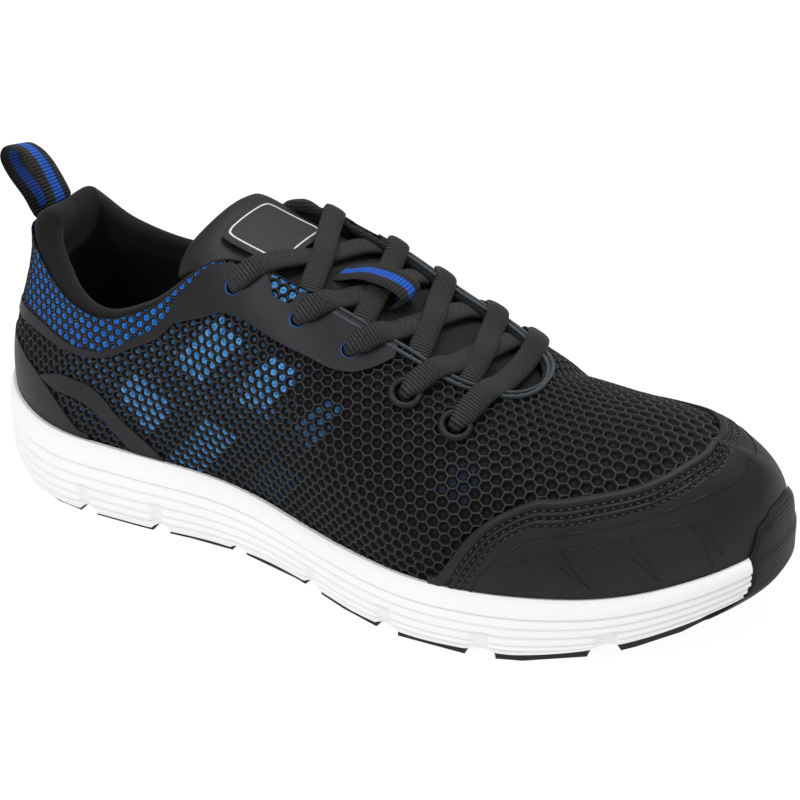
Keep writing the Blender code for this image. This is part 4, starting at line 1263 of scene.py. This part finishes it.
def cell_dots(t, v, band):
    """The size of the dot in each cell's opening, and how blue it is."""
    block, bright = in_block(t, v)
    window = (abs(t - STAY_NOTCH) < 0.03) & (v > 0.9)
    fade = (1 - ease(t, 0.40, 0.54)) * ease(t, 0.13, 0.25) * (0.35 + 0.65 * ease(v, 0.1, 0.5))
    dot = DOT + DOT_FADE * fade + DOT_BLOCK * block
    dot = np.where(band, DOT_COLLAR, np.where(window, DOT_WINDOW, dot))
    blue = 0.02 + 0.42 * fade * (1 - block) + 0.96 * bright
    return dot, np.where(band, 0.10 + 0.80 * ease(t, 0.010, 0.10), np.where(window, 0.9, blue))


def honeycomb():
    """The raised net: one six-sided cell laid out in rows over the flat pattern and carried to the upper."""
    flat, grid, solid = flat_pattern()
    row, up_row = net_directions(flat, grid, solid)
    radius = NET_PITCH / sqrt(3)
    angle = np.radians(30 + 60 * np.arange(6))
    corner = (np.cos(angle)[:, None] * row + np.sin(angle)[:, None] * up_row) * radius
    spots, here, rim = net_cells(flat_finder(flat, grid), cell_centres(flat, row, up_row), corner)
    rim_point = skin(rim[..., 0], rim[..., 1])
    rim_normal = face_normal(rim[..., 0], rim[..., 1])
    centre_normal = face_normal(spots[:, 0], spots[:, 1])
    count = len(spots)

    # Rings of a cell, from the rib's crest to the floor of its opening
    crest = rim_point + rim_normal * NET_TOP
    inner_rib = here[:, None] * (1 - RIB_SHARE) + rim_point * RIB_SHARE
    inner_rib = inner_rib + rim_normal * (NET_TOP - RIB_FALL)
    between = (rim_point + np.roll(rim_point, -1, 1)) / 2
    wall = np.stack([rim_point, between], 2).reshape(count, 12, 3)
    hole = np.tile(HOLE_SHARES, 6)[None, :, None]
    # The blue cloth of the collar lies nearly level with the net's ribs
    t, _ = side_of(spots[:, 0])
    v = spots[:, 1]
    band = (t < 0.36) & (v > STRIP_BORDER.at("high", t) - 0.02)
    band |= (t > 0.35) & (t < 0.42) & (v > STAY_BORDER.at("high", t) - 0.02)
    sunk = centre_normal * np.where(band, NET_FLOOR_COLLAR, NET_FLOOR)[:, None]
    wall = here[:, None] * (1 - hole) + wall * hole + sunk[:, None]
    points = np.concatenate([crest, inner_rib, wall, (here + sunk)[:, None]], 1)
    one_cell = cell_faces()
    faces = [tuple(CELL_POINTS * c + k for k in face) for c in range(count) for face in one_cell]

    # Each point's place in its own cell, in millimetres, for the finish
    flat_ring = corner / radius
    mids = (flat_ring + np.roll(flat_ring, -1, 0)) / 2
    both = np.stack([flat_ring, mids], 1).reshape(12, 2)
    local = np.concatenate([flat_ring, flat_ring * RIB_SHARE, both * hole[0], np.zeros((1, 2))])
    local = local * radius * 1000
    dot, blue = cell_dots(t, v, band)
    made = mesh_piece(
        "honeycomb_net",
        points,
        faces,
        NET,
        uv=np.tile(local, (count, 1)),
        uv_name="cell",
        attributes={
            "spot": np.repeat(dot, CELL_POINTS),
            "blue": np.repeat(blue, CELL_POINTS),
            "deep": np.repeat(np.where(band, 1.0, 0.0), CELL_POINTS),
            # Painted highlight at the crests, half of it at the rib's inner edge, painted shade down the
            # walls
            "top": np.tile(np.repeat([1.0, 0.55, 0.0], [6, 6, 13]), count),
        },
        outward=centre_normal[0],
    )
    return finish_piece(made, (), 80)


CAP_ROWS = (3.3, 5.5, 7.7)  # mm from the cap's border to its rows of stitches
CAP_CORDS = (1.6, 4.4, 6.6)  # mm from the border to the raised cords between them
GROOVE_HALF = 0.55  # mm
CORD_HALF = 0.6
GROOVE_DEPTH = 0.0008
CORD_HEIGHT = 0.0003
BAND_HEIGHT = 0.0004
# The cap's raised line and its slanted panels, as ring places and heights
CAP_LINES = (
    ((0.668, 0.030), (0.672, 0.070), (0.683, 0.162), (0.704, 0.255), (0.722, 0.300), (0.757, 0.330),
     (0.815, 0.380), (0.866, 0.445), (0.912, 0.530), (0.955, 0.620), (1.000, 0.700)),
    ((0.702, 0.188), (0.720, 0.225), (0.741, 0.245), (0.757, 0.180), (0.780, 0.108)),
    ((0.780, 0.108), (0.766, 0.175), (0.753, 0.262), (0.780, 0.290), (0.803, 0.312), (0.820, 0.215),
     (0.845, 0.108)),
    ((0.845, 0.108), (0.834, 0.200), (0.817, 0.318), (0.850, 0.346), (0.875, 0.375), (0.889, 0.250),
     (0.898, 0.125)),
    ((0.884, 0.400), (0.896, 0.290), (0.908, 0.175)),
)


def cap_edge(w):
    """The cap's upper border, drawn soft, and how steeply it climbs along the ring."""
    w = np.asarray(w, float)
    window = 0.010 + 0.014 * (1 - ease(abs(1 - w), 0.0, 0.09))
    near = w[..., None] + window[..., None] * np.linspace(-1, 1, 9)
    # On the inner side the border lies further forward beside the toe
    forward = 0.015 * ease(near, 1.03, 1.10) * (1 - ease(near, 1.15, 1.25))
    high = CAP_BORDER.at("high", side_of(near)[0] - forward)
    slope = (high[..., 5:].mean(-1) - high[..., :4].mean(-1)) / (window * 1.25)
    return high.mean(-1), np.sqrt(1 + (slope * HEIGHT_SCALE / RING_SCALE) ** 2)


def cap_relief(w, v):
    """The raised band along the cap's border, with the grooves of its stitches, and where shade is painted in
    those grooves.
    """
    high, climb = cap_edge(w)
    depth = (high - v) * HEIGHT_SCALE / climb
    grooves = sum(np.exp(-(((depth - row) / GROOVE_HALF) ** 2)) for row in CAP_ROWS)
    cords = sum(np.exp(-(((depth - row) / CORD_HALF) ** 2)) for row in CAP_CORDS)
    band = BAND_HEIGHT * (1 - ease(depth, 8.0, 9.2))
    return band - GROOVE_DEPTH * grooves + CORD_HEIGHT * cords, grooves


def overlays():
    """The films over the upper. Gives the eyestays back, for their holes."""
    w = 1 + np.linspace(-1, 1, 341) * 0.368
    high = np.maximum(cap_edge(w)[0], sill(w, CAP_FILM) + FILM_LEAST)
    panel("toe_cap_film", w, sill(w, FILM_FOOT), high, 88, CAP_FILM, ["toe_cap"], cap_relief)

    w = np.linspace(-0.222, 0.222, 101)
    high = np.maximum(COUNTER_BORDER.at("high", side_of(w)[0]), sill(w, CAP_FILM) + FILM_LEAST)
    panel("heel_counter_film", w, sill(w, FILM_FOOT), high, 14, COUNTER_FILM, ["heel_counter"])

    w = np.linspace(-0.361, 0.361, 161)
    t, _ = side_of(w)
    low, high = STRIP_BORDER.at("low", t), STRIP_BORDER.at("high", t)
    panel("collar_strip_film", w, low, high, 6, STRIP_FILM, ["collar_strip"])

    # The strip over the net's seam at the heel
    w = np.linspace(-0.013, 0.013, 9)
    t, _ = side_of(w)
    low = STRIP_BORDER.at("high", t) - 0.01
    panel("heel_strip", w, low, top_share(t) - 0.004, 30, HEEL_STRIP_FILM, [])

    stays = []
    for side in ("lateral", "medial"):
        w = on_side(side, np.linspace(0.150, 0.310, 61))
        t, _ = side_of(w)
        low = np.maximum(STRAP_BORDER.at("low", t), sill(w, FILM_FOOT))
        high = np.maximum(STRAP_BORDER.at("high", t), low + FILM_LEAST)
        panel("quarter_strap_film_" + side, w, low, high, 12, STRAP_FILM, ["quarter_strap_" + side])
        w = on_side(side, np.concatenate([np.linspace(0.350, 0.356, 7), np.linspace(0.3585, 0.598, 95)]))
        t, _ = side_of(w)
        low, high = STAY_BORDER.at("low", t), notched(t, STAY_BORDER.at("high", t))
        stays.append(panel("eyestay_film_" + side, w, low, high, 16, STAY_FILM, ["eyestay_" + side]))
    return stays


def on_side(side, w):
    """Ring places of the outer side, or the same places of the inner side in rising order."""
    return w if side == "lateral" else np.sort(2 - w)


def eyelet_ring(name, radius, wire, parts, place, turn, finish, replaces, slot):
    """A round ring over an eyelet."""
    bpy.ops.mesh.primitive_torus_add(
        major_radius=radius,
        minor_radius=wire,
        major_segments=parts[0],
        minor_segments=parts[1],
        location=place,
        rotation=turn,
    )
    ring = bpy.context.object
    ring.name = name
    ring.data.materials.append(finish.material)
    bpy.ops.object.transform_apply(location=True, rotation=True, scale=True)
    finish_piece(ring, replaces, 80)


def punch_eyelets(pieces):
    """Cuts the lacing holes through the wall and the eyestays, and puts rings around the front ones."""
    rods = []
    for side in ("lateral", "medial"):
        for number, (ring_place, height) in enumerate(EYELETS, 1):
            w = ring_place if side == "lateral" else 2 - ring_place
            middle = Vector(skin(w, height))
            normal = Vector(face_normal(w, height))
            turn = normal.to_track_quat("Z", "Y").to_euler()
            if number > STAY_EYELETS:
                name = f"eyelet_ring_{side}_{number}"
                place = middle + normal * (RING_WIRE * 0.6 + RING_RADIUS**2 / BALL)
                sizes = (RING_RADIUS, RING_WIRE, (40, 12))
                eyelet_ring("ring_" + name, *sizes, place, turn, FILM, [name], "smooth_film")
            else:
                place = middle + normal * RIM_LIFT
                sizes = (EYELET_RADIUS, RIM_WIRE, (32, 8))
                eyelet_ring(f"eyelet_rim_{side}_{number}", *sizes, place, turn, EYELET_CLOTH, (), "net")
            bpy.ops.mesh.primitive_cylinder_add(
                vertices=24, radius=EYELET_RADIUS, depth=0.012, location=middle, rotation=turn
            )
            rods.append(bpy.context.object)
    cutter = joined("eyelet_cutter", rods)
    settle(cutter)
    bpy.ops.object.transform_apply(location=True, rotation=True, scale=True)
    for piece in pieces:
        hole = piece.modifiers.new("hole", "BOOLEAN")
        hole.object = cutter
        hole.operation = "DIFFERENCE"
        hole.solver = "EXACT"
        apply_modifiers(piece)
        settle(piece)
        bpy.ops.object.shade_smooth_by_angle(angle=radians(40))
    bpy.data.objects.remove(cutter)


# Sole


def notch_share(w, narrow=1.0, slope=0.004):
    """1 in the sole's side notches and 0 between them."""
    t, _ = side_of(w)
    share = np.zeros_like(t)
    for place, width in NOTCHES:
        half = width / 2 * narrow
        share = np.maximum(share, 1 - ease(abs(t - place), half, half + slope))
    return share


def ladder(first, count):
    """Faces across a closed ring of points."""
    half = count // 2
    faces = []
    for i in range(half):
        rung = [i, i + 1, (count - i - 1) % count, (count - i) % count]
        faces.append(tuple(first + k for k in dict.fromkeys(rung)))
    return faces


# How far the bumper runs from the toe's tip along each side, by its height
BUMPER_REACH = Table(
    "height half",
    (0.00, 0.112),
    (0.06, 0.104),
    (0.12, 0.090),
    (0.20, 0.072),
    (0.30, 0.067),
    (1.00, 0.063),
)
RIB_PLACES = (0.150, 0.280, 0.410, 0.550, 0.705)
TREAD_IN_VIEW = (  # how much of the tread shows under the foam, at places along the side
    (0.00, 0.20, 0.30, 0.45, 0.55, 0.65, 0.80),
    (0.0010, 0.0010, 0.0012, 0.0014, 0.0019, 0.0025, 0.0028),
)
RIB_DEPTH = 0.0007
RIB_WIDTH = 0.026
CUT_DEPTH = 0.0013  # of the notches in the side
SKIRT_INSET = 0.0011  # of the foam's underside
TOP_ROUND = 0.0010
LEDGE = 0.0004  # how far the smooth band stands out over the ribs
BUMPER_THICK = 0.0023


def midsole():
    """White foam: soft ribs along its side, notches, a smooth band over them and a skirt around the tread."""
    w = ring_places(np.linspace(0, 1, 281))
    base, _ = outline(w)
    tread = side_height("tread", base[:, 0])
    top = side_height("top", base[:, 0])
    t, _ = side_of(w)
    flare = SIDE.at("flare", (base[:, 0] + HEEL_SEAT) / LENGTH) * FLARE * (0.12 + 0.88 * ease(t, 0.02, 0.18))
    lugs = notch_share(w)
    notch = notch_share(w, 0.62, 0.0022) * (1 - (abs(t - 0.396) < 0.02))
    view = np.interp(t, *TREAD_IN_VIEW)
    skirt = tread + view + (OUTSOLE - view) * lugs * 0.8
    heights = np.concatenate([np.linspace(0, 0.78, 66), np.linspace(0.80, 0.95, 7), [0.975, 0.99, 1.0]])
    rings = []
    grooves = []
    inside, _ = outline(w, -SKIRT_INSET - NOTCH_DEPTH * lugs - BUMPER_RECESS * ease(t, 0.90, 0.91))
    rings.append(np.column_stack([inside, tread + OUTSOLE + 0.0001]))
    rings.append(np.column_stack([inside, skirt]))
    grooves += [0 * t, 0 * t]
    for height in heights:
        reach = 1 - BUMPER_REACH.at("half", height)
        under = ease(t, reach - 0.0015, reach + 0.0015)
        outset = SWELL.at("outset", height) * flare * (1 - under) - BUMPER_RECESS * under
        groove = sum(np.exp(-(((height - place) / RIB_WIDTH) ** 2)) for place in RIB_PLACES)
        ledge = LEDGE * ease(height, 0.70, 0.74) * (1 - ease(height, 0.86, 0.95))
        cut = notch * (1 - ease(height, 0.42, 0.47))
        outset = outset + (ledge - RIB_DEPTH * groove) * (1 - under) * (1 - cut) - CUT_DEPTH * cut
        outset = np.maximum(outset, -0.0009 - 0.0024 * lugs - BUMPER_RECESS * under)
        round_top = TOP_ROUND * ease(height, 0.93, 1.0) ** 2
        place, _ = outline(w, outset - round_top)
        raised = (skirt - tread) * (1 - ease(height, 0, 0.3))
        rings.append(np.column_stack([place, tread + (top - tread) * height + raised]))
        # Where shade is painted: in the grooves between the ribs and in the notches.
        grooves.append(groove * (1 - under) * (1 - cut) + cut * 0.75)
    lip = skin(w, sill(w, 0.0), 0.0002)
    rings.append(np.column_stack([lip[:, :2], top - 0.0003]))
    floor = side_height("footbed", outline(w, -FEATHER)[0][:, 0]) - 0.0004
    seat = skin(w, 0, 0.0004)
    rings.append(np.column_stack([seat[:, :2], floor]))
    grooves += [np.zeros(len(w))] * 2
    count = len(w)
    faces = grid_faces(len(rings), count, ringed=True)
    faces += ladder(0, count) + ladder((len(rings) - 1) * count, count)
    values = np.concatenate([g + np.zeros(count) for g in grooves])
    made = mesh_piece("midsole_foam", np.concatenate(rings), faces, FOAM, attributes={"groove": values})
    close_up(made)
    return finish_piece(made, ["midsole"], 50)


def toe_bumper():
    """Rubber that turns up over the toe and runs back along the sole's lower edge."""
    count = 121
    spread = np.linspace(-1, 1, count)
    rows = 57
    inside = []
    outside = []
    heights = []
    for share in np.linspace(0, 1, rows):
        w = 1 + spread * BUMPER_REACH.at("half", share)
        foot, _ = outline(w)
        low = side_height("tread", foot[:, 0]) + OUTSOLE * 0.35
        wall_top = side_height("top", foot[:, 0])
        rise = (1 - 0.25 * ease(abs(spread), 0.25, 0.75)) * (1 - ease(abs(spread), 0.74, 1.0))
        crest = wall_top + TOE_RISE * rise + 0.0004
        z = low + (crest - low) * share
        beside_sole, direction = outline(w, 0.0003 - BUMPER_RECESS)
        over_cap = skin(w, height_on(w, z), CAP_FILM + 0.0003)[:, :2]
        above = ease(z, wall_top - 0.002, wall_top + 0.001)[:, None]
        inner = np.column_stack([beside_sole * (1 - above) + over_cap * above, z])
        soft = min(1.0, 0.35 + 6 * share, 0.30 + 7 * (1 - share))
        end = 1 - 0.6 * ease(abs(spread), 0.93, 1.0)
        thickness = BUMPER_THICK * (1 - 0.35 * share) * soft * end
        inside.append(inner)
        outside.append(inner + np.column_stack([direction, 0 * z]) * thickness[:, None])
        heights.append(z - low)
    for _ in range(3):
        softer = np.array(outside)
        softer[1:-1, 1:-1] = (softer[:-2, 1:-1] + softer[2:, 1:-1] + softer[1:-1, :-2] + softer[1:-1, 2:]) / 4
        outside = list(softer)
    lanes = outside + inside[::-1]
    heights = np.array(heights + heights[::-1])
    faces = grid_faces(len(lanes), count, wrapped=True)
    for end in (0, count - 1):
        for k in range(rows - 1):
            other = len(lanes) - 1 - k
            faces.append(tuple(lane * count + end for lane in (k, k + 1, other - 1, other)))
    front = np.tile(1 - ease(abs(spread), 0.45, 0.62), len(lanes))
    made = mesh_piece(
        "toe_bumper_rubber",
        np.concatenate(lanes),
        faces,
        BUMPER_RUBBER,
        uv=np.stack([0 * heights, heights], -1),
        attributes={"ribbed": front},
    )
    close_up(made)
    return finish_piece(made, ["toe_bumper"], 50)


# Tongue, badge and webbing


def tongue():
    """A padded sheet, thick at its free top and thin under the laces."""
    rows, pads = tongue_rows()
    count = len(TONGUE_LANES)
    made = mesh_piece("tongue_pad", rows, grid_faces(len(rows), count), TONGUE_SKIN, outward=(0, 0, 1))
    group = made.vertex_groups.new(name="thickness")
    for index, pad in enumerate(np.repeat(pads, count)):
        group.add([index], float((TONGUE + (TONGUE_TOP - TONGUE) * pad) / TONGUE_TOP), "REPLACE")
    wall = thicken(made, TONGUE_TOP)
    wall.vertex_group = "thickness"
    wall.use_even_offset = True
    wall.use_quality_normals = True
    soft = made.modifiers.new("soft", "SUBSURF")
    soft.levels = soft.render_levels = 3
    finish_piece(made, ["tongue"], 80)
    return made


def badge():
    """A bare patch with round corners, bent to the tongue's crown."""
    rows, columns = 29, 37
    middle = place_along(BADGE_PLACE)
    a, b = np.meshgrid(np.linspace(-1, 1, rows), np.linspace(-1, 1, columns), indexing="ij")
    # The square's corners are drawn in to round ones
    reach = np.maximum(abs(a), abs(b))
    size = (abs(a) ** BADGE_POWER + abs(b) ** BADGE_POWER) ** (1 / BADGE_POWER)
    pull = reach / np.maximum(size, 1e-6)
    x = a * pull * BADGE_HALF[0]
    y = b * pull * BADGE_HALF[1]
    face, _ = on_tongue(middle + x.ravel(), y.ravel(), 0 * x.ravel())
    terms = np.stack([1 + 0 * x, x, y, x * x, y * y], -1).reshape(-1, 5)
    bend = np.linalg.lstsq(terms, face[:, 2], rcond=None)[0]
    crown = 0.0014 - 0.0006 * ease(reach, 0.88, 1.0) - 0.0002 * ease(reach, 0.72, 0.78)
    points = np.column_stack([middle + x.ravel(), y.ravel(), terms @ bend + crown.ravel()])
    uv = np.stack([abs(a), abs(b)], -1)
    made = mesh_piece(
        "tongue_patch", points, grid_faces(rows, columns), BADGE, uv=uv, uv_name="patch", outward=(0, 0, 1)
    )
    thicken(made, BADGE_THICK)
    return finish_piece(made, ["tongue_badge"], 50)


def flat_strip(name, path, ups, width, thickness, finish, replaces, closed=False):
    """Webbing along a path. Its UV map runs across and along in metres."""
    across = np.concatenate([np.linspace(-0.5, 0.5, 13), np.linspace(0.5, -0.5, 13), [-0.5]])
    side_round = np.sqrt(np.clip(1 - (abs(across) * 2) ** 8, 0, 1))
    over = np.append(np.repeat([0.5, -0.5], 13), 0.5) * side_round
    lanes = across * width
    made = sweep(name, path, ups, lanes[None], (over * thickness)[None], lanes, finish, closed)
    return finish_piece(made, replaces, 60)


WEBBING_WIDE = 0.015
WEBBING_THICK = 0.0014
KEEPER_WIDE = 0.0145
KEEPER_THICK = 0.0013
# The keeper's arch over the tongue
KEEPER = Table(
    "step along lift",
    (0, 0.466, 0.0004),
    (1, 0.470, 0.0010),
    (2, 0.478, 0.0026),
    (3, 0.488, 0.0048),
    (4, 0.500, 0.0065),
    (5, 0.5195, 0.0079),
    (6, 0.5358, 0.0080),
    (7, 0.5460, 0.0066),
    (8, 0.5445, 0.0034),
    (9, 0.5380, 0.0008),
)


def keeper():
    """The strap that holds the laces to the tongue."""
    step = np.linspace(0, 9, 73)
    x = place_along(KEEPER.at("along", step))
    path, _ = on_tongue(x, 0 * x, KEEPER.at("lift", step))
    path[:, 1] = 0
    tangent = np.gradient(path, axis=0)
    ups = np.column_stack([-tangent[:, 2], 0 * x, tangent[:, 0]])
    sizes = (KEEPER_WIDE, KEEPER_THICK)
    return flat_strip("keeper_strap", path, ups, *sizes, KEEPER_WEBBING, ["tongue_webbing"])


# The loop from the side, as shares of its reach back and its rise
LOOP = Table(
    "step back rise",
    (0, 0.00, 0.075),
    (1, 0.19, -0.170),
    (2, 0.48, 0.150),
    (3, 0.86, 0.480),
    (4, 1.05, 0.740),
    (5, 1.00, 0.920),
    (6, 0.78, 1.000),
    (7, 0.54, 0.950),
    (8, 0.29, 0.770),
    (9, 0.09, 0.510),
    (10, -0.07, 0.250),
    (11, -0.13, 0.090),
)
LOOP_BACK = 0.0172
LOOP_RISE = 0.0206
LOOP_TILT = 0.25


def pull_loop():
    """A closed loop of webbing behind the collar."""
    count = 120
    rows = LOOP.rows[:, 1:]
    closed = np.concatenate([rows[-2:], rows, rows[:3]])
    line = smooth(np.arange(len(closed)), closed, 2 + np.arange(count) * len(rows) / count)
    rim = edge(np.array([0.0]))[0]
    share = np.clip(line[:, 1], 0, 1)
    middle = np.column_stack([rim[0] - line[:, 0] * LOOP_BACK, 0 * share, rim[2] + line[:, 1] * LOOP_RISE])
    tangent = np.roll(middle, -1, 0) - np.roll(middle, 1, 0)
    ups = np.column_stack([-tangent[:, 2], tangent[:, 1], tangent[:, 0]])
    sizes = (WEBBING_WIDE, WEBBING_THICK)
    made = flat_strip("pull_loop_webbing", middle, ups, *sizes, LOOP_WEBBING, ["pull_loop"], closed=True)
    # The far side hangs lower and further back
    for vertex in made.data.vertices:
        lean = np.clip((vertex.co.z - rim[2]) / LOOP_RISE, 0, 1) * LOOP_TILT * vertex.co.y
        vertex.co.z -= lean
        vertex.co.x -= 0.4 * lean
    return made


# Laces


def out_of_eyelet(w, v, away):
    """A lace's points from inside its eyelet to the throat's edge, and the ways up there."""
    share = np.array([0, 0, 0.30, 0.65, 1.0])
    seat = LACE_THICK / 2
    lift = np.array([-LACE_SUNK, 0.0002, seat + 0.0009, seat + 0.0012, seat + 0.0010])
    w = w + away * LACE_ONWARD * share
    v = v + (1 - v) * share
    return skin(w, v, lift), face_normal(w, v)


def lace_run(start, end, over_other, over_far):
    """One run: out of an eyelet, over the throat's edge, across the tongue and under or over the far edge."""
    away = 1 if start[0] < 1 else -1
    near, near_ups = out_of_eyelet(*start, away)
    w_far = end[0] - away * (LACE_ONWARD if over_far else LACE_UNDER)
    first, last = edge(start[0] + away * LACE_ONWARD), edge(w_far)
    share = np.linspace(0.13, 0.87 if over_far else 0.90, 9)
    x = first[0] + (last[0] - first[0]) * share
    y = first[1] + (last[1] - first[1]) * share
    middle = np.exp(-(((share - 0.5) / 0.16) ** 2))
    badge_end = place_along(BADGE_END)
    over_badge = 0.0014 * (1 - ease(x, badge_end - 0.001, badge_end + 0.006))
    beside = LACE_SWELL * np.exp(-share / 0.10)
    lift = LACE_THICK / 2 + SEAT_LIFT + over_badge + beside + LACE_CROSSING * middle * over_other
    if over_far:
        lift += LACE_SWELL * np.exp(-(1 - share) / 0.10)
    across, across_ups = on_tongue(x, y, lift)
    if over_far:
        far, far_ups = (rows[::-1] for rows in out_of_eyelet(*end, -away))
    else:
        tucked = np.array([0.965, 0.90])
        far, far_ups = skin(w_far, tucked, -WALL - LACE_SWELL), face_normal(w_far, tucked)
    points = np.concatenate([near, across, far])
    ups = np.concatenate([near_ups, across_ups, far_ups])
    steps = distances(points)
    fine = np.linspace(0, steps[-1], 90)
    path = smooth(steps, points, fine)
    fine_ups = smooth(steps, ups, fine)
    free = ease(fine, 0.004, 0.010)[:, None]
    if over_far:
        free = free * ease(steps[-1] - fine, 0.004, 0.010)[:, None]
    for _ in range(40):
        softer = path.copy()
        softer[1:-1] = path[:-2] / 4 + path[1:-1] / 2 + path[2:] / 4
        path = path + (softer - path) * free
    # The cord is gathered where it comes out of its eyelet
    gather = 1 - ease(fine, 0.003, 0.009)
    if over_far:
        gather = gather + 1 - ease(steps[-1] - fine, 0.003, 0.009)
    flat = 0 * fine if over_far else 1 - ease(steps[-1] - fine, 0.003, 0.010)
    return path, fine_ups, gather, flat


def lace_cord(name, path, ups, gather, flat):
    """A flat-oval cord. It gets narrower and thicker where it is gathered, and thin where it is tucked."""
    angle = np.linspace(0, 2 * pi, 21)
    wide = LACE_WIDE / 2 * (1 - 0.42 * gather)[:, None]
    thick = LACE_THICK / 2 * ((1 + 0.25 * gather) * (1 - 0.6 * flat))[:, None]
    across = wide * np.sign(np.cos(angle)) * abs(np.cos(angle)) ** LACE_POWER
    over = thick * np.sign(np.sin(angle)) * abs(np.sin(angle)) ** LACE_POWER
    return sweep(name, path, ups, across, over, angle * LACE_WIDE / 4, LACE_CLOTH)


def laces():
    """Nine runs: two at each crossing, and one between the two front eyelets."""
    runs = []
    for upper_pair, lower_pair in zip(EYELETS, EYELETS[1:]):
        runs.append((upper_pair, (2 - lower_pair[0], lower_pair[1]), 0.0, False))
        runs.append(((2 - upper_pair[0], upper_pair[1]), lower_pair, 1.0, False))
    front = EYELETS[-1]
    runs.append((front, (2 - front[0], front[1]), 0.0, True))
    for number, run in enumerate(runs, 1):
        made = lace_cord(f"lace_{number}", *lace_run(*run))
        finish_piece(made, ["laces"] if number == 1 else (), 80)


CORD_RADIUS = 0.0007
CORDS = ((0.998, 0.0002), (0.967, 0.0009))  # height on the upper and lift of each


def bindings():
    """Double cord that binds the throat's edge."""
    side = np.linspace(0.535, RIDGE_START - 0.004, 90)
    w = np.concatenate([side, 2 - side[::-1]])
    for number, (height, lift) in enumerate(CORDS, 1):
        path = skin(w, height, lift)
        soften(path, 12)
        tube(f"throat_cord_{number}", path, CORD_RADIUS, BINDING)


ROLL_THIN = 0.0012
ROLL_SWELL = 0.0014
ROLL_RISE = 0.0016


def collar_end():
    """The padded end of the collar, which stands up beside the tongue on the inner side."""
    t = np.linspace(0.372, 0.520, 60)
    path = edge(2 - t)
    high = ease(t, 0.376, 0.396) * (1 - ease(t, 0.415, 0.450))
    path[:, 2] += ROLL_RISE * high - ROLL_THIN
    path[:, 1] -= ROLL_THIN
    tube("collar_end_roll", path, ROLL_THIN + ROLL_SWELL * high, MESH_CLOTH, 12)


LINE_RADIUS = 0.00038
STITCH_RADIUS = 0.00042
STITCH_STEP = 0.0028
STITCH_LENGTH = 0.0020
STITCH_DIP = 0.0006  # how far a stitch's ends go into the film


def cap_lines():
    """The raised line and the slanted panels on the toe cap, as thin cords half sunk in it."""
    pieces = []
    for side in (0, 1):
        for line in CAP_LINES:
            corners = np.array(line)
            step = np.arange(len(corners))
            fine = np.linspace(0, step[-1], 14 * len(corners))
            if len(corners) > 8:
                place = smooth(step, corners, fine)
            else:
                place = np.stack([np.interp(fine, step, corners[:, k]) for k in (0, 1)], 1)
            soften(place, 4)
            w = 2 - place[:, 0] if side else place[:, 0]
            path = skin(w, place[:, 1], CAP_FILM)
            ups = face_normal(w, place[:, 1])
            pieces.append(tube("cap_line", path, LINE_RADIUS, FILM, 6, ups))
    made = joined("cap_lines", pieces)
    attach(made, "root")


def cap_stitches():
    """Rows of short stitches in the grooves of the toe cap."""
    stitches = []
    for depth in CAP_ROWS:
        w = np.linspace(0.655, 1.345, 900)
        high, climb = cap_edge(w)
        v = high - depth * climb / HEIGHT_SCALE
        path = skin(w, v, CAP_FILM - 0.00005)
        arc = distances(path)
        for start in np.arange(0.001, arc[-1] - 0.003, STITCH_STEP):
            where = np.linspace(start, start + STITCH_LENGTH, 4)
            points = np.stack([np.interp(where, arc, lane) for lane in path.T], 1)
            ring_place = np.interp(start, arc, w)
            height = np.interp(start, arc, v)
            if height >= sill(np.array([ring_place]), 0.001)[0]:
                normal = face_normal(ring_place, height)
                points -= normal * np.array([STITCH_DIP, 0, 0, STITCH_DIP])[:, None]
                stitches.append((points, normal))
    sides = 6
    angle = np.linspace(0, 2 * pi, sides, endpoint=False)
    ends = [tuple(range(sides)), tuple(range(3 * sides, 4 * sides))[::-1]]
    tube_faces = grid_faces(4, sides, ringed=True) + ends
    all_points = []
    faces = []
    for number, (points, normal) in enumerate(stitches):
        side = unit(np.cross(normal, points[-1] - points[0]))
        ring = side * np.cos(angle)[:, None] + normal * np.sin(angle)[:, None]
        all_points.append(points[:, None] + ring[None] * STITCH_RADIUS)
        faces += [tuple(4 * sides * number + k for k in face) for face in tube_faces]
    made = mesh_piece("cap_stitches", np.array(all_points), faces, THREAD)
    close_up(made)
    return finish_piece(made, (), 60)


def dress_solids():
    """Finishes for the solids that stay in view."""
    for name, finish in (("outsole", RUBBER), ("insole", INSOLE_CLOTH)):
        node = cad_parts[name]
        node.data.materials.clear()
        node.data.materials.append(finish.material)


set_camera()
lay_table()
light_up()
wall = shell()
stays = overlays()
punch_eyelets([wall, *stays])
honeycomb()
midsole()
toe_bumper()
tongue()
badge()
keeper()
pull_loop()
laces()
bindings()
collar_end()
cap_stitches()
cap_lines()
dress_solids()
